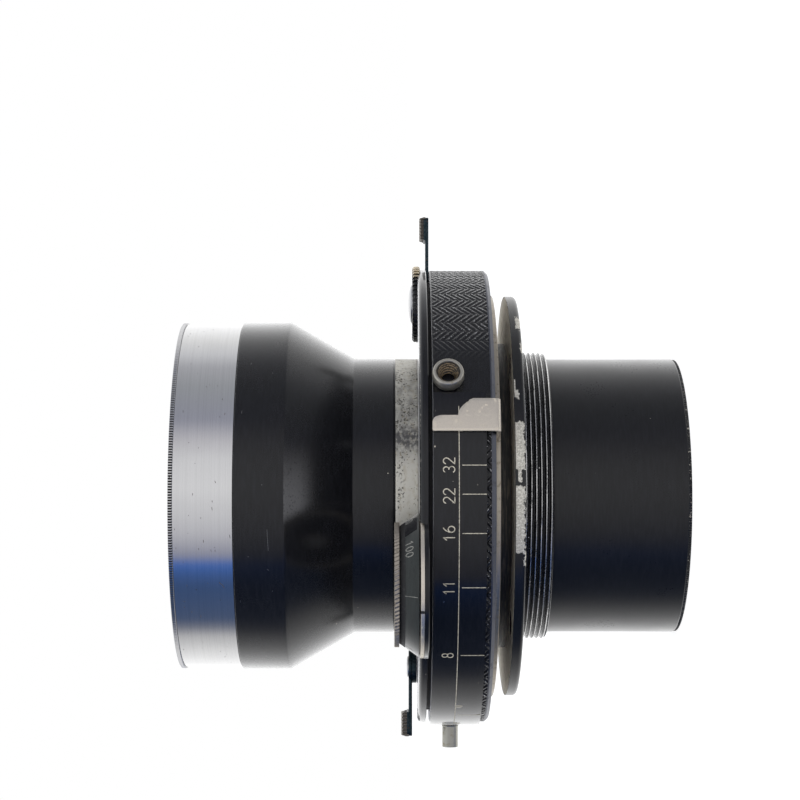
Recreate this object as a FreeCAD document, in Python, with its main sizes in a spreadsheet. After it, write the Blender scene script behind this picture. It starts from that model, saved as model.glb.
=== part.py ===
import FreeCAD, Part
import math
import os
import re

import Sketcher

# Large-format lens in a dial-set leaf shutter, with its screwed-on lensboard flange.
# Millimetres. +Z is the optical axis towards the front of the lens. The origin is on the
# axis at the rear face of the lensboard flange, which is the front surface of the board.
# Angles around the axis are measured clockwise, seen from the front, from the -Y side.

doc = FreeCAD.newDocument("LensInShutter")
sizes = doc.addObject("Spreadsheet::Sheet", "Sizes")

DIMENSIONS = {
    # Lensboard flange and the threaded rear tube of the shutter
    "flange_radius": 44.2,
    "flange_thick": 2.36,
    "flange_round": 0.9,
    "flange_hole_circle": 38.0,
    "flange_hole_radius": 1.6,
    "flange_sink_radius": 3.0,
    "thread_radius": 31.75,
    "land_radius": 32.25,
    "part_gap": 0.03,
    "thread_end": -6.55,
    "thread_chamfer": 0.45,
    "tube_bore": 28.3,
    "boss_radius": 33.6,
    "boss_top": 5.42,
    "hub_radius": 32.9,
    # Rear cell
    "rear_barrel_radius": 30.26,
    "rear_end": -35.5,
    "rear_seat_radius": 26.5,
    "rear_clear_radius": 24.6,
    "rear_spigot_radius": 28.2,
    "rear_spigot_top": 3.6,
    "rear_mouth_radius": 28.6,
    "rear_mouth_depth": 1.2,
    "rear_seat_bottom": -31.5,
    "rear_seat_top": -12.0,
    "barrel_gap": 0.05,
    "cell_ring_width": 1.6,
    "rear_retainer_bottom": -29.6,
    "rear_retainer_top": -27.2,
    "retainer_bevel": 0.4,
    "rear_spacer_bottom": -20.0,
    "rear_spacer_top": -18.1,
    # Glass: heights of the vertices, and surface radii that are positive where convex
    "glass_gap": 0.05,
    "front_crown_rear": 54.6,
    "front_crown_front": 67.0,
    "front_crown_rear_curve": 142.0,
    "front_crown_front_curve": 90.0,
    "front_flint_rear": 52.7,
    "front_flint_front": 54.57,
    "front_flint_rear_curve": 570.0,
    "front_flint_front_curve": -142.0,
    "front_inner_rear": 37.4,
    "front_inner_front": 42.0,
    "front_inner_rear_curve": -95.0,
    "front_inner_front_curve": 60.0,
    "rear_inner_rear": -12.9,
    "rear_inner_front": -9.3,
    "rear_inner_rear_curve": -70.0,
    "rear_inner_front_curve": 110.0,
    "rear_outer_rear": -29.0,
    "rear_outer_front": -26.0,
    "rear_outer_rear_curve": 160.0,
    "rear_outer_front_curve": -62.0,
    # Shutter housing
    "housing_radius": 49.9,
    "housing_rear": 6.35,
    "housing_floor": 8.6,
    "housing_front": 19.0,
    "housing_chamfer": 0.75,
    "housing_ledge_radius": 46.5,
    "housing_bore": 47.6,
    "housing_aperture": 22.6,
    # Aperture scale and pointer
    "plate_radius": 50.85,
    "plate_rear": 8.3,
    "plate_front": 18.9,
    "plate_start": -24.0,
    "plate_end": 78.0,
    "scale_screw_first": 60.4,
    "scale_screw_second": 75.0,
    "scale_screw_height": 13.2,
    "scale_screw_radius": 0.9,
    "scale_screw_gap": 0.05,
    "ring_radius": 44.4,
    "ring_bore": 33.0,
    "ring_gap": 0.04,
    "ring_chamfer": 0.2,
    "pointer_inner": 51.1,
    "pointer_thick": 0.65,
    "pointer_index": -14.4,
    "pointer_wide_end": -22.1,
    "pointer_narrow_end": -18.0,
    "pointer_foot_thick": 0.8,
    "pointer_wide_top": 11.0,
    "pointer_top": 19.15,
    "ring_travel": 80.8,
    "drive_pin_radius": 0.8,
    "drive_pin_circle": 40.0,
    "drive_slot_half": 0.9,
    # Iris
    "iris_count": 10,
    "blade_overhang": 2.0,
    "blade_root_inset": 1.6,
    "blade_root_side": 0.6,
    "blade_root_radius": 1.1,
    "blade_arm_radius": 0.8,
    "pin_end_gap": 0.05,
    "iris_open_radius": 21.45,
    "iris_closed_radius": 1.875,
    "iris_band": 8.0,
    "iris_span": 125.0,
    "iris_pivot_circle": 30.5,
    "iris_thick": 0.10,
    "iris_pitch": 0.15,
    "iris_first": 9.40,
    "iris_arm": 5.5,
    "iris_arm_open": 50.0,
    "pin_radius": 0.35,
    "pin_clearance": 0.04,
    "slot_clearance": 0.06,
    "cam_bottom": 8.70,
    "cam_top": 9.30,
    "cam_inner": 22.6,
    "cam_outer": 42.0,
    "iris_plate_bottom": 10.95,
    "iris_plate_top": 11.75,
    "plate_aperture": 22.2,
    # Shutter blades and the ring that drives them
    "shutter_count": 5,
    "shutter_open_radius": 22.2,
    "shutter_overlap": 1.5,
    "shutter_band": 15.0,
    "shutter_span": 120.0,
    "shutter_pivot_circle": 38.5,
    "shutter_thick": 0.15,
    "shutter_pitch": 0.22,
    "shutter_first": 11.85,
    "shutter_arm": 5.0,
    "shutter_arm_open": 40.0,
    "shutter_ring_travel": 20.0,
    "shutter_ring_bottom": 13.0,
    "shutter_ring_top": 13.6,
    "shutter_ring_inner": 37.0,
    "shutter_ring_outer": 45.6,
    "spacer_inner": 46.0,
    "mechanism_bottom": 13.9,
    "mechanism_top": 14.7,
    "inner_plate_radius": 47.5,
    # Front cover, its screws and the front collar
    "cover_radius": 50.3,
    "cover_rear": 19.85,
    "cover_front": 21.7,
    "cover_round": 0.5,
    "cover_groove": 20.6,
    "cover_groove_depth": 0.35,
    "cover_groove_half": 0.2,
    "skirt_outer": 47.3,
    "skirt_inner": 45.0,
    "lever_window_width": 18.0,
    "post_circle": 41.0,
    "post_radius": 2.2,
    "screw_radius": 1.0,
    "screw_head_radius": 1.9,
    "screw_head_depth": 0.8,
    "screw_head_gap": 0.05,
    "collar_radius": 30.26,
    "collar_bore": 27.6,
    "collar_top": 26.5,
    "collar_spigot": 29.0,
    # Front cell
    "cell_spigot_radius": 27.5,
    "cell_spigot_bottom": 15.0,
    "cell_spigot_bore": 24.0,
    "neck_top": 35.4,
    "inner_seat_radius": 24.9,
    "inner_seat_bottom": 34.0,
    "inner_seat_top": 45.0,
    "cone_top": 49.45,
    "band_radius": 38.34,
    "band_top": 59.9,
    "front_seat_radius": 33.8,
    "front_seat_bottom": 53.5,
    "front_seat_clear": 32.0,
    "front_spigot_radius": 35.6,
    "front_spigot_top": 63.0,
    "front_retainer_bottom": 60.9,
    "front_retainer_bevel": 0.7,
    "front_retainer_lip": 0.9,
    "front_retainer_width": 2.6,
    "front_spacer_bottom": 37.0,
    "front_spacer_top": 40.0,
    "bezel_radius": 37.9,
    "bezel_top": 73.2,
    "bezel_lip_radius": 38.2,
    "bezel_lip_bottom": 72.3,
    "bezel_lip_round": 0.2,
    "bezel_bore": 35.0,
    "filter_radius": 36.0,
    "filter_bottom": 67.2,
    "filter_top": 72.7,
    "filter_flare": 0.5,
    # Speed dial
    "dial_x": -18.14,
    "dial_y": -41.51,
    "dial_lobe_radius": 14.9,
    "dial_recess_radius": 15.0,
    "dial_recess_floor": 20.92,
    "dial_base_radius": 14.8,
    "dial_base_bottom": 20.95,
    "dial_base_top": 21.75,
    "dial_cone_bottom": 21.80,
    "dial_cone_radius": 14.5,
    "dial_cone_top_radius": 11.8,
    "dial_cone_top": 25.75,
    "dial_disc_radius": 12.6,
    "dial_disc_top": 26.75,
    "dial_shaft_radius": 1.9,
    "dial_shaft_bottom": 19.3,
    "dial_hole_radius": 1.95,
    "dial_shaft_room": 0.4,
    "dial_wall": 1.4,
    "speed_cam_radius": 6.0,
    "speed_cam_lift_radius": 5.0,
    "speed_cam_offset": 4.0,
    "speed_cam_gap": 0.2,
    "speed_cam_thick": 1.2,
    # Mode wheel
    "wheel_x": 41.8,
    "wheel_y": -9.0,
    "wheel_radius": 8.3,
    "wheel_bottom": 21.1,
    "wheel_top": 22.8,
    "wheel_recess_radius": 8.65,
    "wheel_recess_floor": 21.0,
    "wheel_cap_radius": 4.2,
    "wheel_cap_top": 23.25,
    "wheel_shaft_radius": 1.2,
    "wheel_hole_radius": 1.25,
    "wheel_shaft_bottom": 17.0,
    # Release lever
    "release_x": 37.5,
    "release_reach": 61.8,
    "release_bottom": 19.05,
    "release_thick": 0.7,
    "release_width": 7.0,
    "release_grip_length": 5.0,
    "release_grip_top": 21.1,
    "release_hub_radius": 4.0,
    "release_pivot_radius": 1.0,
    "release_hole_radius": 1.05,
    # Cocking lever
    "cocking_x": -38.0,
    "cocking_reach": 53.1,
    "cocking_bottom": 22.7,
    "cocking_thick": 0.75,
    "cocking_width": 6.0,
    "cocking_grip_length": 5.2,
    "cocking_grip_top": 25.1,
    "cocking_hub_radius": 3.6,
    "cocking_hub_bottom": 21.75,
    "cocking_shaft_radius": 1.8,
    "cocking_hole_radius": 1.85,
    "cocking_shaft_bottom": 15.0,
    "spring_turns": 3,
    "spring_inner": 2.3,
    "spring_outer": 5.0,
    "spring_half_thick": 0.15,
    "spring_gap": 0.6,
    "spring_height": 1.8,
    # Cable release socket and flash sync socket
    "cable_angle": -28.0,
    "cable_height": 15.9,
    "cable_base_radius": 2.8,
    "cable_belly_radius": 3.3,
    "cable_rim_radius": 3.1,
    "cable_mouth_radius": 2.4,
    "cable_bore": 1.5,
    "cable_out": 53.1,
    "cable_spigot_radius": 2.5,
    "cable_belly_out": 1.5,
    "cable_rim_chamfer": 0.3,
    "cable_mouth_depth": 1.6,
    "socket_inset": 0.2,
    "socket_seat_gap": 0.02,
    "sync_height": 14.26,
    "sync_radius": 1.75,
    "sync_root_radius": 1.5,
    "sync_collar_radius": 1.95,
    "sync_collar_length": 1.0,
    "sync_collar_chamfer": 0.1,
    "sync_bore": 1.15,
    "sync_out": 55.7,
    "sync_pin_radius": 0.5,
    "sync_pin_inset": 0.6,
    "sync_pin_point": 0.2,
    "sync_insulator_inset": 3.0,
}

for row, (alias, value) in enumerate(DIMENSIONS.items(), start=1):
    sizes.set(f"A{row}", alias)
    sizes.set(f"B{row}", str(value))
    sizes.setAlias(f"B{row}", alias)
doc.recompute()

nodes = []


def size(alias):
    """The number that a cell of the sheet holds."""
    return float(sizes.get(alias))


def bound(text):
    """An expression over the sheet, from one over bare aliases."""
    return re.sub(r"\b(?!abs\b)[a-z][a-z_]*", lambda word: "Sizes." + word.group(), str(text))


def keep(item, label):
    """Marks an object of the document as a sub-part with its own file."""
    item.Label = label
    nodes.append(item)
    return item


def origin_feature(body, role):
    return next(item for item in body.Origin.OriginFeatures if item.Role == role)


def turned(name, outline):
    """A body of revolution about Z: its outline is corners of (radius, height) expressions."""
    body = doc.addObject("PartDesign::Body", name)
    sketch = body.newObject("Sketcher::SketchObject", name + "_section")
    sketch.AttachmentSupport = [(origin_feature(body, "XZ_Plane"), "")]
    sketch.MapMode = "FlatFace"
    corners = [
        FreeCAD.Vector(evaluate(radius), evaluate(height), 0) for radius, height in outline
    ]
    count = len(corners)
    for index, corner in enumerate(corners):
        sketch.addGeometry(Part.LineSegment(corner, corners[(index + 1) % count]), False)
    for index in range(count):
        sketch.addConstraint(
            Sketcher.Constraint("Coincident", index, 2, (index + 1) % count, 1)
        )
    for index, (radius, height) in enumerate(outline):
        bind_corner(sketch, index, "DistanceX", radius)
        bind_corner(sketch, index, "DistanceY", height)
    revolution = body.newObject("PartDesign::Revolution", name + "_turned")
    revolution.Profile = sketch
    revolution.ReferenceAxis = (sketch, ["V_Axis"])
    revolution.Angle = 360.0
    return body


def bind_corner(sketch, index, kind, text):
    """Ties one coordinate of a sketch corner to an expression over the sheet."""
    value = evaluate(text)
    if value == 0:
        axis = -2 if kind == "DistanceX" else -1
        sketch.addConstraint(Sketcher.Constraint("PointOnObject", index, 1, axis))
        return
    constraint = sketch.addConstraint(
        Sketcher.Constraint(kind, -1, 1, index, 1, value)
    )
    sketch.setExpression(f"Constraints[{constraint}]", bound(text))


def evaluate(text):
    """The value of an arithmetic expression over bare aliases."""
    total = 0.0
    for sign, product in re.findall(r"([+-]?)\s*([^+\s-][^+-]*)", str(text)):
        value = 1.0
        for factor in product.split("*"):
            factor = factor.strip()
            value *= size(factor) if factor[0].isalpha() else float(factor)
        total += -value if sign == "-" else value
    return total


def bind(item, **expressions):
    for name, text in expressions.items():
        item.setExpression(name, bound(text))


def place(item, x="0", y="0", z="0"):
    """Binds the position of an object to expressions."""
    for axis, text in (("x", x), ("y", y), ("z", z)):
        item.setExpression("Placement.Base." + axis, bound(text))


def cylinder(name, radius, bottom, top, x="0", y="0"):
    item = doc.addObject("Part::Cylinder", name)
    bind(item, Radius=radius, Height=f"({top}) - ({bottom})")
    place(item, x, y, bottom)
    return item


def cone(name, bottom_radius, top_radius, bottom, top, x="0", y="0"):
    item = doc.addObject("Part::Cone", name)
    bind(item, Radius1=bottom_radius, Radius2=top_radius, Height=f"({top}) - ({bottom})")
    place(item, x, y, bottom)
    return item


def block(name, x_range, y_range, z_range):
    """A box between pairs of expressions."""
    item = doc.addObject("Part::Box", name)
    lows = [pair[0] for pair in (x_range, y_range, z_range)]
    spans = [f"({pair[1]}) - ({pair[0]})" for pair in (x_range, y_range, z_range)]
    bind(item, Length=spans[0], Width=spans[1], Height=spans[2])
    place(item, *lows)
    return item


def cut(name, base, *tools):
    for index, tool in enumerate(tools, start=1):
        step = doc.addObject("Part::Cut", f"{name}_cut_{index}")
        step.Base = base
        step.Tool = tool
        base = step
    return base


def fuse(name, *items):
    joined = doc.addObject("Part::MultiFuse", name + "_fused")
    joined.Shapes = list(items)
    return joined


def common(name, *items):
    shared = doc.addObject("Part::MultiCommon", name + "_common")
    shared.Shapes = list(items)
    return shared


def group(name, items):
    """Separate solids that share one node, such as a set of screws."""
    joined = doc.addObject("Part::Compound", name + "_set")
    joined.Links = items
    return joined


def shaped(label, shape):
    """A sub-part whose shape is worked out in code."""
    item = doc.addObject("Part::Feature", label)
    item.Shape = shape
    item.Placement = shape.Placement
    return keep(item, label)


def polar(radius, degrees, height=0.0):
    angle = math.radians(degrees)
    return FreeCAD.Vector(radius * math.cos(angle), radius * math.sin(angle), height)


def compass(degrees):
    """Polar angle from +X of a clock angle measured from -Y, clockwise from the front."""
    return 270.0 - degrees


# ---------------------------------------------------------------- flange and rear tube
def make_flange():
    outline = [
        ("land_radius + part_gap", "0"),
        ("flange_radius - flange_round", "0"),
        ("flange_radius - 0.3 * flange_round", "0.3 * flange_round"),
        ("flange_radius", "flange_round"),
        ("flange_radius", "flange_thick"),
        ("land_radius + part_gap", "flange_thick"),
    ]
    plate = turned("flange_plate", outline)
    holes = []
    for index in range(4):
        spot = polar(1.0, 45.0 + 90.0 * index)
        x = f"{spot.x:.6f} * flange_hole_circle"
        y = f"{spot.y:.6f} * flange_hole_circle"
        drill = cylinder(f"flange_drill_{index}", "flange_hole_radius", "-1", "flange_thick + 1", x, y)
        sink_bottom = "flange_thick - flange_sink_radius + flange_hole_radius"
        sink = cone(
            f"flange_sink_{index}", "flange_hole_radius", "flange_sink_radius",
            sink_bottom, "flange_thick", x, y,
        )
        holes += [drill, sink]
    keep(cut("lensboard_flange", plate, *holes), "lensboard_flange")


def make_rear_tube():
    outline = [
        ("tube_bore", "thread_end"),
        ("thread_radius - thread_chamfer", "thread_end"),
        ("thread_radius", "thread_end + thread_chamfer"),
        ("thread_radius", "0"),
        ("land_radius", "0"),
        ("land_radius", "flange_thick"),
        ("boss_radius", "flange_thick"),
        ("boss_radius", "boss_top"),
        ("hub_radius", "boss_top"),
        ("hub_radius", "housing_rear"),
        ("tube_bore", "housing_rear"),
    ]
    keep(turned("rear_mount_tube", outline), "rear_mount_tube")


# ---------------------------------------------------------------- rear cell
def make_rear_cell():
    barrel = [
        ("rear_mouth_radius", "rear_end"),
        ("rear_barrel_radius", "rear_end"),
        ("rear_barrel_radius", "thread_end - barrel_gap"),
        ("rear_spigot_radius", "thread_end - barrel_gap"),
        ("rear_spigot_radius", "rear_spigot_top"),
        ("rear_clear_radius", "rear_spigot_top"),
        ("rear_clear_radius", "rear_seat_top"),
        ("rear_seat_radius", "rear_seat_top"),
        ("rear_seat_radius", "rear_seat_bottom"),
        ("rear_mouth_radius", "rear_end + rear_mouth_depth"),
    ]
    keep(turned("rear_barrel", barrel), "rear_barrel")
    ring = [
        ("rear_seat_radius - cell_ring_width", "rear_retainer_bottom + retainer_bevel"),
        ("rear_seat_radius - part_gap", "rear_retainer_bottom"),
        ("rear_seat_radius - part_gap", "rear_retainer_top"),
        ("rear_seat_radius - cell_ring_width", "rear_retainer_top"),
    ]
    keep(turned("rear_retaining_ring", ring), "rear_retaining_ring")
    spacer = [
        ("rear_seat_radius - cell_ring_width", "rear_spacer_bottom"),
        ("rear_seat_radius - part_gap", "rear_spacer_bottom"),
        ("rear_seat_radius - part_gap", "rear_spacer_top"),
        ("rear_seat_radius - cell_ring_width", "rear_spacer_top"),
    ]
    keep(turned("rear_spacer_ring", spacer), "rear_spacer_ring")


# ---------------------------------------------------------------- glass
def ball(name, radius, height):
    item = doc.addObject("Part::Sphere", name)
    bind(item, Radius=radius)
    place(item, z=height)
    return item


BLANK_ROOM = 12.0


def lens_element(name, radius):
    """A glass element: a cylinder that its two spherical surfaces bound or hollow out."""
    label = name + "_element"
    concave_rear = size(name + "_rear_curve") < 0
    concave_front = size(name + "_front_curve") < 0
    blank = cylinder(
        label + "_blank", radius,
        f"{name}_rear - {BLANK_ROOM if concave_rear else 0.0}",
        f"{name}_front + {BLANK_ROOM if concave_front else 0.0}",
    )
    convex = [blank]
    hollow = []
    for side, concave, sign in (("rear", concave_rear, "+"), ("front", concave_front, "-")):
        curve = f"{name}_{side}_curve"
        sphere = ball(f"{label}_{side}", f"abs({curve})", f"{name}_{side} {sign} {curve}")
        (hollow if concave else convex).append(sphere)
    body = common(label, *convex) if len(convex) > 1 else blank
    keep(cut(label, body, *hollow), label)


def make_glass():
    lens_element("front_crown", "front_seat_radius - glass_gap")
    lens_element("front_flint", "front_seat_radius - glass_gap")
    lens_element("front_inner", "inner_seat_radius - glass_gap")
    lens_element("rear_inner", "rear_seat_radius - glass_gap")
    lens_element("rear_outer", "rear_seat_radius - glass_gap")


# ---------------------------------------------------------------- front cell
def make_front_cell():
    barrel = [
        ("cell_spigot_bore", "cell_spigot_bottom"),
        ("cell_spigot_radius", "cell_spigot_bottom"),
        ("cell_spigot_radius", "collar_top"),
        ("collar_radius", "collar_top"),
        ("collar_radius", "neck_top"),
        ("band_radius", "cone_top"),
        ("band_radius", "band_top"),
        ("front_spigot_radius", "band_top"),
        ("front_spigot_radius", "front_spigot_top"),
        ("front_seat_radius", "front_spigot_top"),
        ("front_seat_radius", "front_seat_bottom"),
        ("front_seat_clear", "front_seat_bottom"),
        ("inner_seat_radius", "inner_seat_top"),
        ("inner_seat_radius", "inner_seat_bottom"),
        ("cell_spigot_bore", "inner_seat_bottom"),
    ]
    keep(turned("front_barrel", barrel), "front_barrel")
    bezel = [
        ("front_spigot_radius + part_gap", "band_top"),
        ("bezel_radius", "band_top"),
        ("bezel_radius", "bezel_lip_bottom"),
        ("bezel_lip_radius", "bezel_lip_bottom"),
        ("bezel_lip_radius", "bezel_top - bezel_lip_round"),
        ("bezel_lip_radius - bezel_lip_round", "bezel_top"),
        ("filter_radius + filter_flare", "bezel_top"),
        ("filter_radius", "filter_top"),
        ("filter_radius", "filter_bottom"),
        ("bezel_bore", "filter_bottom"),
        ("bezel_bore", "front_spigot_top + part_gap"),
        ("front_spigot_radius + part_gap", "front_spigot_top + part_gap"),
    ]
    keep(turned("front_bezel_ring", bezel), "front_bezel_ring")
    retainer = [
        ("front_seat_radius - front_retainer_width", "front_retainer_bottom + front_retainer_bevel"),
        ("front_seat_radius - front_retainer_lip", "front_retainer_bottom"),
        ("front_seat_radius - part_gap", "front_retainer_bottom"),
        ("front_seat_radius - part_gap", "front_spigot_top"),
        ("front_seat_radius - cell_ring_width", "front_spigot_top"),
    ]
    keep(turned("front_retaining_ring", retainer), "front_retaining_ring")
    spacer = [
        ("inner_seat_radius - cell_ring_width", "front_spacer_bottom + retainer_bevel"),
        ("inner_seat_radius - part_gap", "front_spacer_bottom"),
        ("inner_seat_radius - part_gap", "front_spacer_top"),
        ("inner_seat_radius - cell_ring_width", "front_spacer_top"),
    ]
    keep(turned("front_spacer_ring", spacer), "front_spacer_ring")


# ---------------------------------------------------------------- shutter housing
def arc_slot(name, radius, half_width, start, end, bottom, top):
    """A curved slot about the axis, between two polar angles, as a solid to cut with."""
    outer = Part.makeCylinder(
        radius + half_width, top - bottom, FreeCAD.Vector(0, 0, bottom),
        FreeCAD.Vector(0, 0, 1), end - start,
    )
    inner = Part.makeCylinder(
        radius - half_width, top - bottom, FreeCAD.Vector(0, 0, bottom),
        FreeCAD.Vector(0, 0, 1), end - start,
    )
    band = outer.cut(inner)
    band.rotate(FreeCAD.Vector(0, 0, 0), FreeCAD.Vector(0, 0, 1), start)
    ends = [
        Part.makeCylinder(half_width, top - bottom, polar(radius, angle, bottom))
        for angle in (start, end)
    ]
    item = doc.addObject("Part::Feature", name)
    item.Shape = band.fuse(ends).removeSplitter()
    return item


def radial(name, radius, start, end, angle, height):
    """A cylinder that points away from the axis, from one radius to another."""
    item = doc.addObject("Part::Cylinder", name)
    bind(item, Radius=radius, Height=f"({end}) - ({start})")
    direction = polar(1.0, angle)
    item.Placement = FreeCAD.Placement(
        FreeCAD.Vector(0, 0, 0),
        FreeCAD.Rotation(FreeCAD.Vector(0, 0, 1), direction),
    )
    place(item, f"{direction.x:.8f} * ({start})", f"{direction.y:.8f} * ({start})", height)
    return item


def make_housing():
    outline = [
        ("housing_aperture", "housing_rear"),
        ("housing_radius - housing_chamfer", "housing_rear"),
        ("housing_radius", "housing_rear + housing_chamfer"),
        ("housing_radius", "housing_front"),
        ("housing_bore", "housing_front"),
        ("housing_bore", "iris_plate_bottom"),
        ("housing_ledge_radius", "iris_plate_bottom"),
        ("housing_ledge_radius", "housing_floor"),
        ("housing_aperture", "housing_floor"),
    ]
    shell = turned("housing_shell", outline)
    slots = []
    for index, start in enumerate((270.0, 90.0)):
        slots.append(arc_slot(
            f"drive_slot_{index}", size("drive_pin_circle"), size("drive_slot_half"),
            start - size("ring_travel"), start, size("housing_rear") - 1, size("housing_floor") + 1,
        ))
    cable_hole = radial(
        "cable_hole", "cable_spigot_radius", "housing_bore - 1", "housing_radius + 1",
        compass(size("cable_angle")), "cable_height",
    )
    sync_hole = radial(
        "sync_hole", "sync_root_radius", "housing_bore - 1", "housing_radius + 1", 180.0,
        "sync_height",
    )
    keep(cut("shutter_housing", shell, *slots, cable_hole, sync_hole), "shutter_housing")


def make_scale_plate():
    angles = ("scale_screw_first", "scale_screw_second")
    start = compass(size("plate_end"))
    outer = cylinder("plate_outer", "plate_radius", "plate_rear", "plate_front")
    inner = cylinder("plate_inner", "housing_radius", "plate_rear - 1", "plate_front + 1")
    bind(outer, Angle="plate_end - plate_start")
    outer.Placement.Rotation = FreeCAD.Rotation(FreeCAD.Vector(0, 0, 1), start)
    screw_holes = [
        radial(
            f"plate_screw_hole_{index}", "scale_screw_radius + scale_screw_gap",
            "housing_radius - 1", "plate_radius + 1", compass(size(angle)), "scale_screw_height",
        )
        for index, angle in enumerate(angles)
    ]
    keep(cut("aperture_scale_plate", outer, inner, *screw_holes), "aperture_scale_plate")
    screws = [
        radial(
            f"plate_screw_{index}", "scale_screw_radius", "housing_radius",
            "plate_radius + scale_screw_gap", compass(size(angle)), "scale_screw_height",
        )
        for index, angle in enumerate(angles)
    ]
    keep(group("scale_plate_screws", screws), "scale_plate_screws")


# ---------------------------------------------------------------- aperture ring
def sector(inner, outer, bottom, top, start, end):
    """A curved wall between two clock angles."""
    first = compass(end)
    wall = Part.makeCylinder(
        outer, top - bottom, FreeCAD.Vector(0, 0, bottom), FreeCAD.Vector(0, 0, 1), end - start
    )
    wall = wall.cut(Part.makeCylinder(inner, top - bottom, FreeCAD.Vector(0, 0, bottom)))
    wall.rotate(FreeCAD.Vector(0, 0, 0), FreeCAD.Vector(0, 0, 1), first)
    return wall


def make_aperture_ring():
    outline = [
        ("ring_bore", "boss_top + ring_gap"),
        ("ring_radius - ring_chamfer", "boss_top + ring_gap"),
        ("ring_radius", "boss_top + ring_gap + ring_chamfer"),
        ("ring_radius", "housing_rear - ring_gap"),
        ("ring_bore", "housing_rear - ring_gap"),
    ]
    keep(turned("aperture_ring", outline), "aperture_ring")
    inner = size("pointer_inner")
    outer = inner + size("pointer_thick")
    bottom = size("boss_top") + size("ring_gap")
    index = size("pointer_index")
    foot = sector(
        size("ring_radius"), outer, bottom, bottom + size("pointer_foot_thick"),
        size("pointer_wide_end"), index,
    )
    wide = sector(inner, outer, bottom, size("pointer_wide_top"), size("pointer_wide_end"), index)
    narrow = sector(
        inner, outer, bottom, size("pointer_top"), size("pointer_narrow_end"), index
    )
    shaped("aperture_pointer", foot.fuse([wide, narrow]).removeSplitter())
    pins = []
    for number, start in enumerate((270.0, 90.0)):
        spot = polar(1.0, start)
        pins.append(cylinder(
            f"drive_pin_{number}", "drive_pin_radius", "housing_rear - ring_gap", "cam_bottom",
            f"{spot.x:.6f} * drive_pin_circle", f"{spot.y:.6f} * drive_pin_circle",
        ))
    keep(group("aperture_drive_pins", pins), "aperture_drive_pins")


# ---------------------------------------------------------------- blades and cam slots
def stadium(start, end, radius, bottom, thick):
    """A flat bar with round ends."""
    ends = [
        Part.makeCylinder(radius, thick, FreeCAD.Vector(spot.x, spot.y, bottom))
        for spot in (start, end)
    ]
    along = end - start
    bar = Part.makeBox(along.Length, 2 * radius, thick, FreeCAD.Vector(0, -radius, 0))
    bar.rotate(
        FreeCAD.Vector(0, 0, 0), FreeCAD.Vector(0, 0, 1),
        math.degrees(math.atan2(along.y, along.x)),
    )
    bar.translate(FreeCAD.Vector(start.x, start.y, bottom))
    return ends[0].fuse([ends[1], bar])


def closing_angle(kind):
    """How far a blade turns between open and closed."""
    pivot = size(kind + "_pivot_circle")
    if kind == "iris":
        reach = size("iris_open_radius") - size("iris_closed_radius")
    else:
        reach = size("shutter_open_radius") + size("shutter_overlap")
    return 2 * math.degrees(math.asin(reach / (2 * pivot)))


def drive_pin_spot(kind, turn):
    """Where a blade's drive pin is, with the blade turned this far in from open."""
    arm = polar(size(kind + "_arm"), size(kind + "_arm_open") + turn)
    return FreeCAD.Vector(size(kind + "_pivot_circle"), 0, 0) + arm


def blade(kind, index, pivot_span, drive_span):
    """One blade at rest, which is closed: a curved band, its pivot pin and its drive pin."""
    inner = size(kind + "_open_radius")
    outer = inner + size(kind + "_band")
    thick = size(kind + "_thick")
    bottom = size(kind + "_first") + size(kind + "_pitch") * index
    pivot = FreeCAD.Vector(size(kind + "_pivot_circle"), 0, 0)
    base = FreeCAD.Vector(0, 0, bottom)
    up = FreeCAD.Vector(0, 0, 1)
    band = Part.makeCylinder(outer, thick, base, up, size(kind + "_span"))
    band = band.cut(Part.makeCylinder(inner, thick, base))
    band.rotate(FreeCAD.Vector(0, 0, 0), up, -size("blade_overhang"))
    root = FreeCAD.Vector(outer - size("blade_root_inset"), size("blade_root_side"), 0)
    drive = drive_pin_spot(kind, 0.0)
    flat = band.fuse([
        stadium(root, pivot, size("blade_root_radius"), bottom, thick),
        stadium(pivot, drive, size("blade_arm_radius"), bottom, thick),
    ])
    pins = []
    for spot, (low, high) in ((pivot, pivot_span), (drive, drive_span)):
        low = min(low, bottom)
        high = max(high, bottom + thick)
        pins.append(Part.makeCylinder(
            size("pin_radius"), high - low, FreeCAD.Vector(spot.x, spot.y, low)
        ))
    shape = flat.fuse(pins).removeSplitter()
    shape.rotate(pivot, up, closing_angle(kind))
    shape.rotate(FreeCAD.Vector(0, 0, 0), up, 360.0 * index / size(kind + "_count"))
    return shape


def strip(path, half, bottom, top):
    """A solid strip of constant width with round ends, along a flat path of points."""
    curve = Part.BSplineCurve()
    curve.interpolate(path)
    first, last = curve.FirstParameter, curve.LastParameter
    count = 2 * len(path)
    left, right = [], []
    for step in range(count + 1):
        where = first + (last - first) * step / count
        along = curve.tangent(where)[0]
        across = FreeCAD.Vector(-along.y, along.x, 0) * half
        left.append(curve.value(where) + across)
        right.append(curve.value(where) - across)
    start_tip = curve.value(first) - curve.tangent(first)[0] * half
    end_tip = curve.value(last) + curve.tangent(last)[0] * half
    left_side = Part.BSplineCurve()
    left_side.interpolate(left)
    right_side = Part.BSplineCurve()
    right_side.interpolate(right[::-1])
    edges = [
        left_side.toShape(),
        Part.Arc(left[-1], end_tip, right[-1]).toShape(),
        right_side.toShape(),
        Part.Arc(right[0], start_tip, left[0]).toShape(),
    ]
    solid = Part.Face(Part.Wire(edges)).extrude(FreeCAD.Vector(0, 0, top - bottom))
    solid.translate(FreeCAD.Vector(0, 0, bottom))
    return solid


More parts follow.
